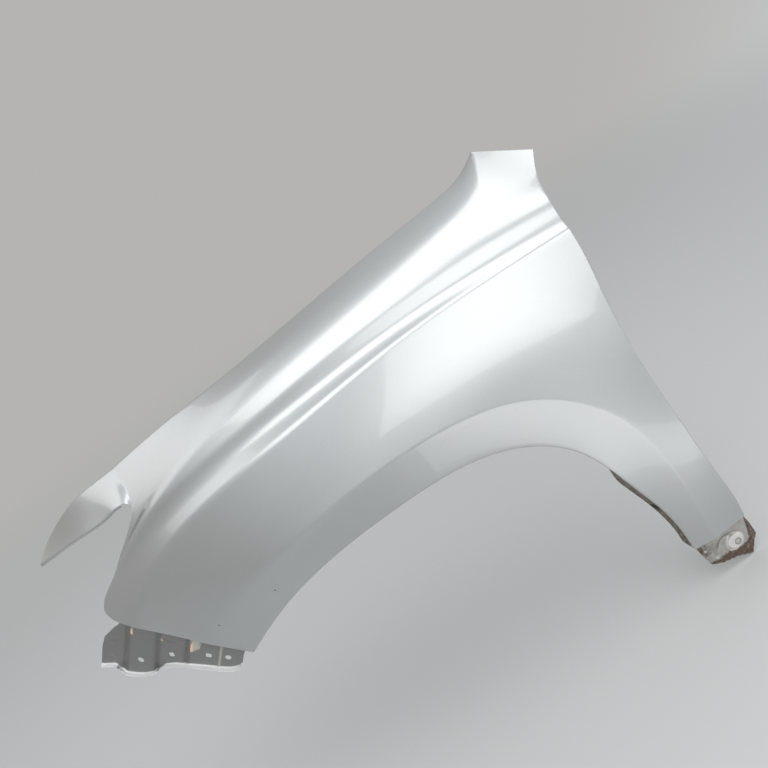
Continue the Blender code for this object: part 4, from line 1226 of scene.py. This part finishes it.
grime, given, sent = new_group(
    "grime",
    [("Place", PLACE, None), ("Paint", COLOUR, (0.6, 0.6, 0.6, 1)),
     ("Dirt", COLOUR, (0.09, 0.065, 0.045, 1)), ("Amount", NUMBER, 0.5), ("Scale", NUMBER, 120.0)],
    [("Color", COLOUR), ("Mask", NUMBER)],
)
patches = noise(grime, given["Place"], given["Scale"], 6.0, 0.62, 0.4)
grains = noise(grime, given["Place"], times(grime, given["Scale"], 9.0), 2.0, 0.6)
lumps = noise(grime, given["Place"], times(grime, given["Scale"], 2.2), 3.0, 0.6)
blend = plus(grime, times(grime, patches, 0.75), times(grime, grains, 0.25))
bare = times(grime, maths(grime, "SUBTRACT", 1.0, given["Amount"]), 0.62)
over = rescale(grime, maths(grime, "SUBTRACT", blend, bare), 0.07, 0.33)
over = times(grime, over, rescale(grime, given["Amount"], 0.02, 0.14))
shade = plus(grime, times(grime, grains, 0.4), times(grime, rescale(grime, lumps, 0.3, 0.7), 0.6))
tint = mix(grime, shade, (0.45, 0.45, 0.45), (1.9, 1.85, 1.8))
wire(grime, sent["Color"], mix(grime, over, given["Paint"], tinted(grime, given["Dirt"], tint)))
wire(grime, sent["Mask"], over)
print("groups", [group.name for group in bpy.data.node_groups])


def soiled(tree, shader, paint, dirt, amount, scale, rough):
    """Grime over a paint; rough says how rough clean paint and dirt are. Returns the dirt's mask."""
    place = own_place(tree)
    dirty = use(tree, grime, Place=place, Paint=paint, Dirt=(*dirt, 1), Amount=amount, Scale=scale)
    wire(tree, shader["Base Color"], dirty["Color"])
    wire(tree, shader["Roughness"], slope(tree, dirty["Mask"], *rough))
    return dirty["Mask"]


# %% [markdown]
# ## Camera
#
# The camera stands where the photograph was taken from. Its place came out of the outline of the
# wheel arch, which is close to a circle, so that its shape in the picture gives the direction of
# view. The panel lay on its lower edge, so the picture is rolled against the car's frame.

# %% Camera
AIM = WHEEL_CENTRE + (0.0932, 0.0, 0.5305)
CAMERA_DISTANCE = 1.0233
CAMERA_TURN = math.radians(6.409)
CAMERA_DIP = math.radians(15.269)
CAMERA_ROLL = math.radians(33.0)
SENSOR = 36.0
FOCAL_PIXELS = 773.0
PICTURE = 768.0

look = np.array((
    math.sin(CAMERA_TURN) * math.cos(CAMERA_DIP),
    math.cos(CAMERA_TURN) * math.cos(CAMERA_DIP),
    -math.sin(CAMERA_DIP),
))
level = (-Vector(look)).to_track_quat("Z", "Y").to_matrix().to_4x4()
viewpoint = AIM - look * CAMERA_DISTANCE
camera_matrix = Matrix.Translation(viewpoint) @ level @ Matrix.Rotation(-CAMERA_ROLL, 4, "Z")
camera = bpy.data.objects.new("camera", bpy.data.cameras.new("camera"))
bpy.context.scene.collection.objects.link(camera)
camera.matrix_world = camera_matrix
camera.data.sensor_width = SENSOR
camera.data.lens = FOCAL_PIXELS / PICTURE * SENSOR
bpy.context.scene.camera = camera
print("camera at", np.round(viewpoint, 3))

# %% [markdown]
# ## Silver paint
#
# Silver car paint is aluminium scales in a clear binder under a hard lacquer. So the base is
# mostly metallic with a broad gloss, and the coat on top has a narrow one. The colour is a light
# neutral grey, because the rest of what one sees in such paint is the room. Stone chips go down to
# the dark primer. They are placed by the pixels at which they show, along the camera's lines of sight.

# %% Chips and scuffs
CHIPS = ((275.0, 590.0, 0.0026), (219.0, 625.6, 0.0022), (291.0, 577.0, 0.0012), (246.0, 611.0, 0.0011))


def skin_place(across, down):
    """The point of the skin that shows at a pixel, as the grid point nearest to its line of sight."""
    pixel = ((across - PICTURE / 2) / FOCAL_PIXELS, (PICTURE / 2 - down) / FOCAL_PIXELS, -1.0)
    sight = unit(np.array(camera_matrix)[:3, :3] @ pixel)
    skin = np.concatenate([surfaces[name].reshape(-1, 3) for name in ("lower", "upper", "spur")])
    ahead = skin + WHEEL_CENTRE - viewpoint
    reach = ahead @ sight
    off = np.linalg.norm(ahead - reach[:, None] * sight, axis=1)
    return viewpoint + reach[off.argmin()] * sight


chip_places = [(skin_place(across, down), size) for across, down, size in CHIPS]
print("chips", [np.round(place, 3).tolist() for place, _ in chip_places])


def chip_mask(tree, place):
    """1 inside any chip, its outline broken up by noise."""
    ragged = times(tree, maths(tree, "SUBTRACT", noise(tree, place, 900.0, 2.0), 0.5), 0.0022)
    mask = 0.0
    for centre, size in chip_places:
        away = plus(tree, vector_maths(tree, "DISTANCE", place, tuple(centre), out="Value"), ragged)
        mask = largest(tree, mask, rescale(tree, away, size * 0.55, size * 0.40))
    return mask


# %% Silver paint on the skin
SILVER = (0.50, 0.51, 0.51)
ROAD_FILM = (0.50, 0.48, 0.44)
DIRT_BROWN = (0.085, 0.062, 0.042)
CHIPPED = (0.035, 0.033, 0.032)

tree, shader = finish_for(panel, 0, "silver_paint")
place = own_place(tree)
base = tinted(tree, SILVER, use(tree, flake, Place=place, Scale=FLAKES, Strength=0.10)["Shade"])
film = noise(tree, place, 7.0, 4.0, 0.6)
base = mix(tree, rescale(tree, film, 0.35, 0.75, 0.0, 0.10), base, ROAD_FILM)
low = rescale(tree, along_axis(tree, place, "Z"), -0.20, -0.42)
rear = rescale(tree, along_axis(tree, place, "X"), 0.14, 0.27)
lip_dirt = times(tree, own_value(tree, "lip"), plus(tree, times(tree, rear, 0.44), 0.22))
splash = times(tree, rescale(tree, own_value(tree, "arch"), 0.016, 0.0), low, 0.16)
amount = largest(tree, lip_dirt, splash)
dirty = use(tree, grime, Place=place, Paint=base, Dirt=(*DIRT_BROWN, 1), Amount=amount, Scale=230.0)
chips = chip_mask(tree, place)
cover = largest(tree, dirty["Mask"], chips)
wire(tree, shader["Base Color"], mix(tree, chips, dirty["Color"], CHIPPED))
wire(tree, shader["Metallic"], slope(tree, cover, 0.88, 0.0))
wire(tree, shader["Roughness"], slope(tree, cover, 0.34, 0.85))
wire(tree, shader["Coat Weight"], slope(tree, cover, 1.0, 0.0))
shader["Coat Roughness"].default_value = 0.04
shader["Coat IOR"].default_value = 1.5
waves = use(tree, peel, Place=place, Depth=0.000012, Scale=240.0)["Height"]
relief(tree, shader, plus(tree, waves, times(tree, cover, -0.00015)), 0.6)
print("silver paint", len(tree.nodes), "nodes")

# %% [markdown]
# ## The unseen side
#
# The back of a fender is grey dip primer with a thin mist of silver over it, heavier near the
# edges where the spray reaches, and dull. Round the arch it is dusty, and behind the wheel it is
# caked with road dirt.

# %% Inner face of the skin
PRIMER = (0.23, 0.235, 0.24)
MIST = (0.47, 0.475, 0.47)
DUST = (0.24, 0.21, 0.17)
CAKED = (0.12, 0.095, 0.07)

tree, shader = finish_for(panel, 1, "primer_under_thin_silver")
place = own_place(tree)
near_fold = rescale(tree, own_value(tree, "fold"), 0.10, 0.004)
mist = plus(tree, near_fold, times(tree, noise(tree, place, 16.0, 5.0, 0.6), 0.7))
paint = mix(tree, rescale(tree, mist, 0.25, 1.1), PRIMER, MIST)
settled = rescale(tree, noise(tree, place, 24.0, 5.0, 0.6), 0.25, 0.7, 0.25, 0.8)
paint = mix(tree, times(tree, rescale(tree, own_value(tree, "arch"), 0.20, 0.01), settled), paint, DUST)
near_arch = rescale(tree, own_value(tree, "arch"), 0.14, 0.0)
low = rescale(tree, along_axis(tree, place, "Z"), -0.15, -0.62, 0.0, 0.28)
amount = plus(tree, times(tree, near_arch, 0.42), low)
mask = soiled(tree, shader, paint, CAKED, amount, 90.0, (0.50, 0.92))
wire(tree, shader["Metallic"], slope(tree, mask, 0.25, 0.0))
height = times(tree, noise(tree, place, 700.0, 3.0), 0.00006)
relief(tree, shader, plus(tree, height, times(tree, mask, 0.0003)), 0.7)

# %% [markdown]
# ## Bracket finishes
#
# The brackets were welded on before painting, so they have the same silver, but thinner and without
# polish. On the bumper bracket the ramps of the joggles are painted darker as their shade, the bead is
# painted lighter as its highlight and the rolled lip nearly white as the light it catches from above. A
# triangle before the first joggle is painted lighter, and where the bumper has rubbed, the tips show
# pale orange primer.

# %% Where the bumper bracket is worn, and where its light and shade are painted
SPARSE = 6
TIP_BEFORE = 0.0060
TIP_LENGTHS = (22, 9, 6)
PATCH_FROM = 0.0890
PATCH_LENGTH = 0.0130
LIP_FALL = 0.93
LIP_NEAR = 0.014

points = mesh_points(bumper_bracket)
web = bracket_grid[web_top:-LIP_ROWS]
nominal = np.linspace(BRACKET_START, BRACKET_END[-1][1], BRACKET_COLUMNS + 1)
_, nearest_point = nearest_on(points, web[::SPARSE].reshape(-1, 3))
row, column = np.divmod(nearest_point, BRACKET_COLUMNS + 1)
station, fall = nominal[column], row * SPARSE / WEB_ROWS
from_web_end = nearest_on(points, dense(web[-1], 900))[0]
beyond = (points - web[-1, column]) @ DOWN_THE_BRACKET
rolled = np.clip(beyond / 0.0010, 0, 1) * (fall > LIP_FALL) * (from_web_end < LIP_NEAR)
store(bumper_bracket, "rolled_lip", rolled)
# Painted shade: the ramps of the joggles face away from the light, so their colour is made darker.
band = sum(np.exp(-(((station - middle) / 0.0052) ** 4)) for middle, _ in JOGGLES)
store(bumper_bracket, "band", np.clip(band, 0, 1))
# Painted highlight: a narrow line along the bead is made lighter in colour.
store(bumper_bracket, "rib", np.exp(-(((station - RIB_STATION) / 0.0016) ** 2)) * (fall < 0.97))
# A triangle on the pad before the first joggle, painted lighter.
along_patch = (PATCH_FROM - station) / PATCH_LENGTH
patch = (along_patch > 0) * (along_patch < 1) * smooth_step((0.43 - 0.33 * along_patch - fall) / 0.05)
store(bumper_bracket, "rubbed_patch", patch)
tip_columns = [np.abs(nominal - middle + TIP_BEFORE).argmin() for middle, _ in JOGGLES]
tips = np.concatenate([
    dense([web[0, place] - 0.006 * DOWN_THE_BRACKET, web[deepest, place]], 40)
    for place, deepest in zip(tip_columns, TIP_LENGTHS)
])
store(bumper_bracket, "rubbed_tip", np.clip(1 - nearest_on(points, tips)[0] / 0.0034, 0, 1))
print("rubbed tips at", np.round(nominal[tip_columns], 3))

# %% Bumper bracket finish
for slot, name, grey in ((0, "bracket_paint", 0.255), (1, "bracket_paint_inner", 0.250)):
    tree, shader = finish_for(bumper_bracket, slot, name)
    place = own_place(tree)
    sparkle = use(tree, flake, Place=place, Scale=FLAKES, Strength=0.12)["Shade"]
    base = tinted(tree, (grey, grey, 0.25), sparkle)
    film = rescale(tree, noise(tree, place, 60.0, 4.0), 0.35, 0.8, 0.0, 0.25)
    base = mix(tree, film, base, (0.26, 0.25, 0.23))
    # Painted shade: darker colour over the ramps of the joggles.
    base = mix(tree, times(tree, own_value(tree, "band"), 0.55), base, (0.13, 0.132, 0.125))
    # Painted highlight on the bead, joined by the lighter triangle before the first joggle.
    rib = times(tree, own_value(tree, "rib"), 0.7)
    light = largest(tree, rib, times(tree, own_value(tree, "rubbed_patch"), 0.8))
    base = mix(tree, light, base, (0.66, 0.64, 0.57))
    # Painted highlight: the rolled lip is made nearly white, for the light it catches from above.
    on_lip = own_value(tree, "rolled_lip")
    base = mix(tree, on_lip, base, (0.74, 0.74, 0.73))
    worn = times(tree, own_value(tree, "rubbed_tip"), noise(tree, place, 330.0, 3.0, 0.6))
    primer = rescale(tree, worn, 0.08, 0.30)
    base = mix(tree, primer, base, (0.86, 0.60, 0.48))
    dust = (0.10, 0.08, 0.06, 1)
    dirty = use(tree, grime, Place=place, Paint=base, Dirt=dust, Amount=0.10, Scale=90.0)
    wire(tree, shader["Base Color"], dirty["Color"])
    wire(tree, shader["Metallic"], slope(tree, largest(tree, dirty["Mask"], primer, on_lip), 0.55, 0.0))
    gloss = rescale(tree, on_lip, 0.0, 1.0, 0.46, 0.36)
    wire(tree, shader["Roughness"], largest(tree, gloss, times(tree, dirty["Mask"], 0.85)))
    shader["Coat Weight"].default_value = 0.25
    shader["Coat Roughness"].default_value = 0.25
    relief(tree, shader, times(tree, noise(tree, place, 420.0, 3.0), 0.00005), 0.6)

# %% [markdown]
# The foot is the dirtiest piece. Mud lies below a wavy line and beyond another near the rear edge, and
# round the front corner. The seat was under the head of a bolt and is bright, with a dark ring at the
# hole, and the groove beside it is painted dark, as shade in the recess and as dirt gathered there.

# %% Rocker bracket finish
MUD_LINE = np.array((
    (0.380, -0.0440), (0.3937, -0.0450), (0.4097, -0.0467), (0.4219, -0.0476), (0.4348, -0.0512),
    (0.4486, -0.0533), (0.4601, -0.0537), (0.4656, -0.0493), (0.500, -0.0400),
))
STRIP_LINE = np.array((
    (-0.080, 0.4640), (-0.0505, 0.4672), (-0.0259, 0.4715), (-0.0114, 0.4749), (0.0, 0.4760),
))
MUD_EDGE = 0.006
WET_MUD = (0.075, 0.052, 0.038)
FRONT_CORNER = (0.382, -0.020)
FRONT_CORNER_REACH = 0.030

points = mesh_points(foot)
flat = points[:, [0, 2]]
seat = 1 - np.linalg.norm((flat - SEAT_CENTRE) / RING_RADII, axis=1)
store(foot, "seat", np.clip(seat / 0.25 + 0.6, 0, 1))
store(foot, "groove", groove_share(flat))
off_hole = np.linalg.norm(flat - FOOT_HOLE, axis=1)
store(foot, "bolt_ring", np.exp(-(((off_hole - 0.0050) / 0.0011) ** 2)))
below = np.interp(flat[:, 0], *MUD_LINE.T) - flat[:, 1]
beyond = flat[:, 0] - np.interp(flat[:, 1], *STRIP_LINE.T)
store(foot, "mud", np.clip(np.maximum(below, beyond * 1.6) / MUD_EDGE + 0.5, 0, 1))
from_corner = np.linalg.norm(flat - FRONT_CORNER, axis=1)
store(foot, "corner_dirt", np.clip(1 - from_corner / FRONT_CORNER_REACH, 0, 1))

for slot, name in enumerate(("dirty_bracket_paint", "dirty_bracket_paint_inner")):
    tree, shader = finish_for(foot, slot, name)
    place = own_place(tree)
    patchy = rescale(tree, noise(tree, place, 95.0, 5.0), 0.3, 0.75)
    base = mix(tree, patchy, (0.40, 0.385, 0.36), (0.30, 0.285, 0.265))
    bright = own_value(tree, "seat")
    base = mix(tree, bright, base, (0.66, 0.63, 0.61))
    base = mix(tree, own_value(tree, "bolt_ring"), base, (0.16, 0.14, 0.12))
    # Painted shade and dirt: the groove is made dark, as shade in the recess and as the dirt that gathers
    # in it.
    base = mix(tree, times(tree, own_value(tree, "groove"), 0.75), base, (0.12, 0.115, 0.11))
    mud = times(tree, own_value(tree, "mud"), 0.56)
    amount = plus(tree, mud, times(tree, own_value(tree, "corner_dirt"), 0.5), 0.16 + 0.35 * slot)
    amount = maths(tree, "SUBTRACT", amount, times(tree, bright, 0.15))
    mask = soiled(tree, shader, base, WET_MUD, amount, 170.0, (0.42, 0.90))
    wire(tree, shader["Metallic"], slope(tree, mask, 0.35, 0.0))
    height = times(tree, noise(tree, place, 520.0, 4.0), 0.0001)
    relief(tree, shader, plus(tree, height, times(tree, mask, 0.0003)), 0.7)

# %% Pillar bracket and clip
for slot, name in enumerate(("inner_paint", "inner_paint_back")):
    tree, shader = finish_for(pillar, slot, name)
    place = own_place(tree)
    thin = rescale(tree, noise(tree, place, 70.0, 4.0), 0.3, 0.7)
    paint = mix(tree, thin, (0.24, 0.245, 0.25), (0.44, 0.445, 0.44))
    soiled(tree, shader, paint, CAKED, 0.22, 80.0, (0.5, 0.9))
    shader["Metallic"].default_value = 0.2
    relief(tree, shader, times(tree, noise(tree, place, 600.0, 3.0), 0.00006), 0.7)

tree, shader = finish_for(clip, 0, "black_plastic")
place = own_place(tree)
soiled(tree, shader, (0.018, 0.018, 0.019, 1), (0.09, 0.075, 0.06), 0.30, 260.0, (0.38, 0.85))
relief(tree, shader, times(tree, noise(tree, place, 1500.0, 2.0), 0.00008), 0.8)
print("materials", [material.name for material in bpy.data.materials if material.users])

# %% [markdown]
# ## Floor and room
#
# The room is one soft dome, bright where the sky stood in the photograph and darker on the other
# side, because a silver panel only shows its shape when what it mirrors changes along it. The floor is
# a plain pale disc below the lowest point. With distance it fades into the dome's own colour, so no
# horizon cuts the picture.

# %% The dome's colour for any direction
BRIGHT_SIDE = (0.600, -0.450, 0.661)
DOME_DARK = (0.46, 0.455, 0.445)
DOME_BRIGHT = (0.78, 0.82, 0.85)
NO_LIMIT = -1000.0

dome, given, sent = new_group("studio dome", [("Direction", PLACE, None)], [("Color", COLOUR)])
above = vector_maths(dome, "MAXIMUM", given["Direction"], (NO_LIMIT, NO_LIMIT, 0.0))
towards = vector_maths(dome, "NORMALIZE", above)
facing = vector_maths(dome, "DOT_PRODUCT", towards, BRIGHT_SIDE, out="Value")
wire(dome, sent["Color"], mix(dome, rescale(dome, facing, -0.10, 0.65), DOME_DARK, DOME_BRIGHT))

world = bpy.data.worlds.new("studio")
bpy.context.scene.world = world
world.use_nodes = True
tree = world.node_tree
direction = add(tree, "ShaderNodeTexCoord").outputs["Generated"]
wire(tree, tree.nodes["Background"].inputs["Color"], use(tree, dome, Direction=direction)["Color"])

# %% Floor
FLOOR_RADIUS = 40.0
FLOOR_SIDES = 96
FLOOR_GAP = 0.004
FLOOR_GREY = (0.54, 0.54, 0.535, 1)
FLOOR_FADE = (1.0, 7.0)

turn = np.arange(FLOOR_SIDES) * 2 * math.pi / FLOOR_SIDES
ring = np.stack([np.cos(turn), np.sin(turn), 0 * turn], axis=-1) * FLOOR_RADIUS
floor = mesh_object("floor", ring + (0, 0, CAD_BOX[0][2] - FLOOR_GAP), [list(range(FLOOR_SIDES))])

tree, shader = finish_for(floor, 0, "pale_floor")
shader["Base Color"].default_value = FLOOR_GREY
shader["Roughness"].default_value = 0.8
flat = vector_maths(tree, "MULTIPLY", own_place(tree), (1.0, 1.0, 0.0))
far = rescale(tree, vector_maths(tree, "LENGTH", flat, out="Value"), *FLOOR_FADE)
glow = add(tree, "ShaderNodeEmission", {"Color": use(tree, dome, Direction=flat)["Color"]})
lit = tree.nodes["Principled BSDF"].outputs[0]
fade = add(tree, "ShaderNodeMixShader", {0: far, 1: lit, 2: glow.outputs[0]})
wire(tree, tree.nodes["Material Output"].inputs["Surface"], fade.outputs[0])

# %% [markdown]
# ## Lamps
#
# A lamp is placed by what it is mirrored in. A line of sight that meets the panel leaves it again at
# the same angle, and where it ends there has to be a lamp, if that place is to shine. So one tilted box
# stands before the rear of the side, one hangs over the crown, another over its front end, and a
# card lies low before the flare.

# %% Lamps
LAMPS = (
    ("side_box", (1.15, -2.0, 0.22), (0.1, 0.0, -0.1), (2.2, 1.15), 12.5, -20),
    ("overhead_box", (0.50, -1.15, 1.80), (0.0, -0.05, 0.0), (3.0, 1.5), 24.0, 0),
    ("front_top_box", (-1.35, 0.25, 1.80), (-0.2, -0.05, 0.0), (2.2, 1.5), 9.0, 0),
    ("low_card", (0.40, -0.52, -0.66), (0.40, -0.30, -0.20), (0.62, 0.42), 0.7, 0),
)


def soft_lamp(name, place, aim, size, power, roll):
    """A soft box that faces a point, rolled about its own axis by degrees."""
    lamp = bpy.data.lights.new(name, "AREA")
    lamp.shape = "RECTANGLE"
    lamp.size, lamp.size_y = size
    lamp.energy = power
    obj = bpy.data.objects.new(name, lamp)
    bpy.context.scene.collection.objects.link(obj)
    turned_to = (Vector(place) - Vector(aim)).to_track_quat("Z", "Y").to_matrix().to_4x4()
    obj.matrix_world = Matrix.Translation(place) @ turned_to @ Matrix.Rotation(math.radians(roll), 4, "Z")
    obj.visible_camera = False


for lamp in LAMPS:
    soft_lamp(*lamp)
print("lamps", [name for name, *_ in LAMPS])

# %% View transform
bpy.context.scene.view_settings.view_transform = "Standard"
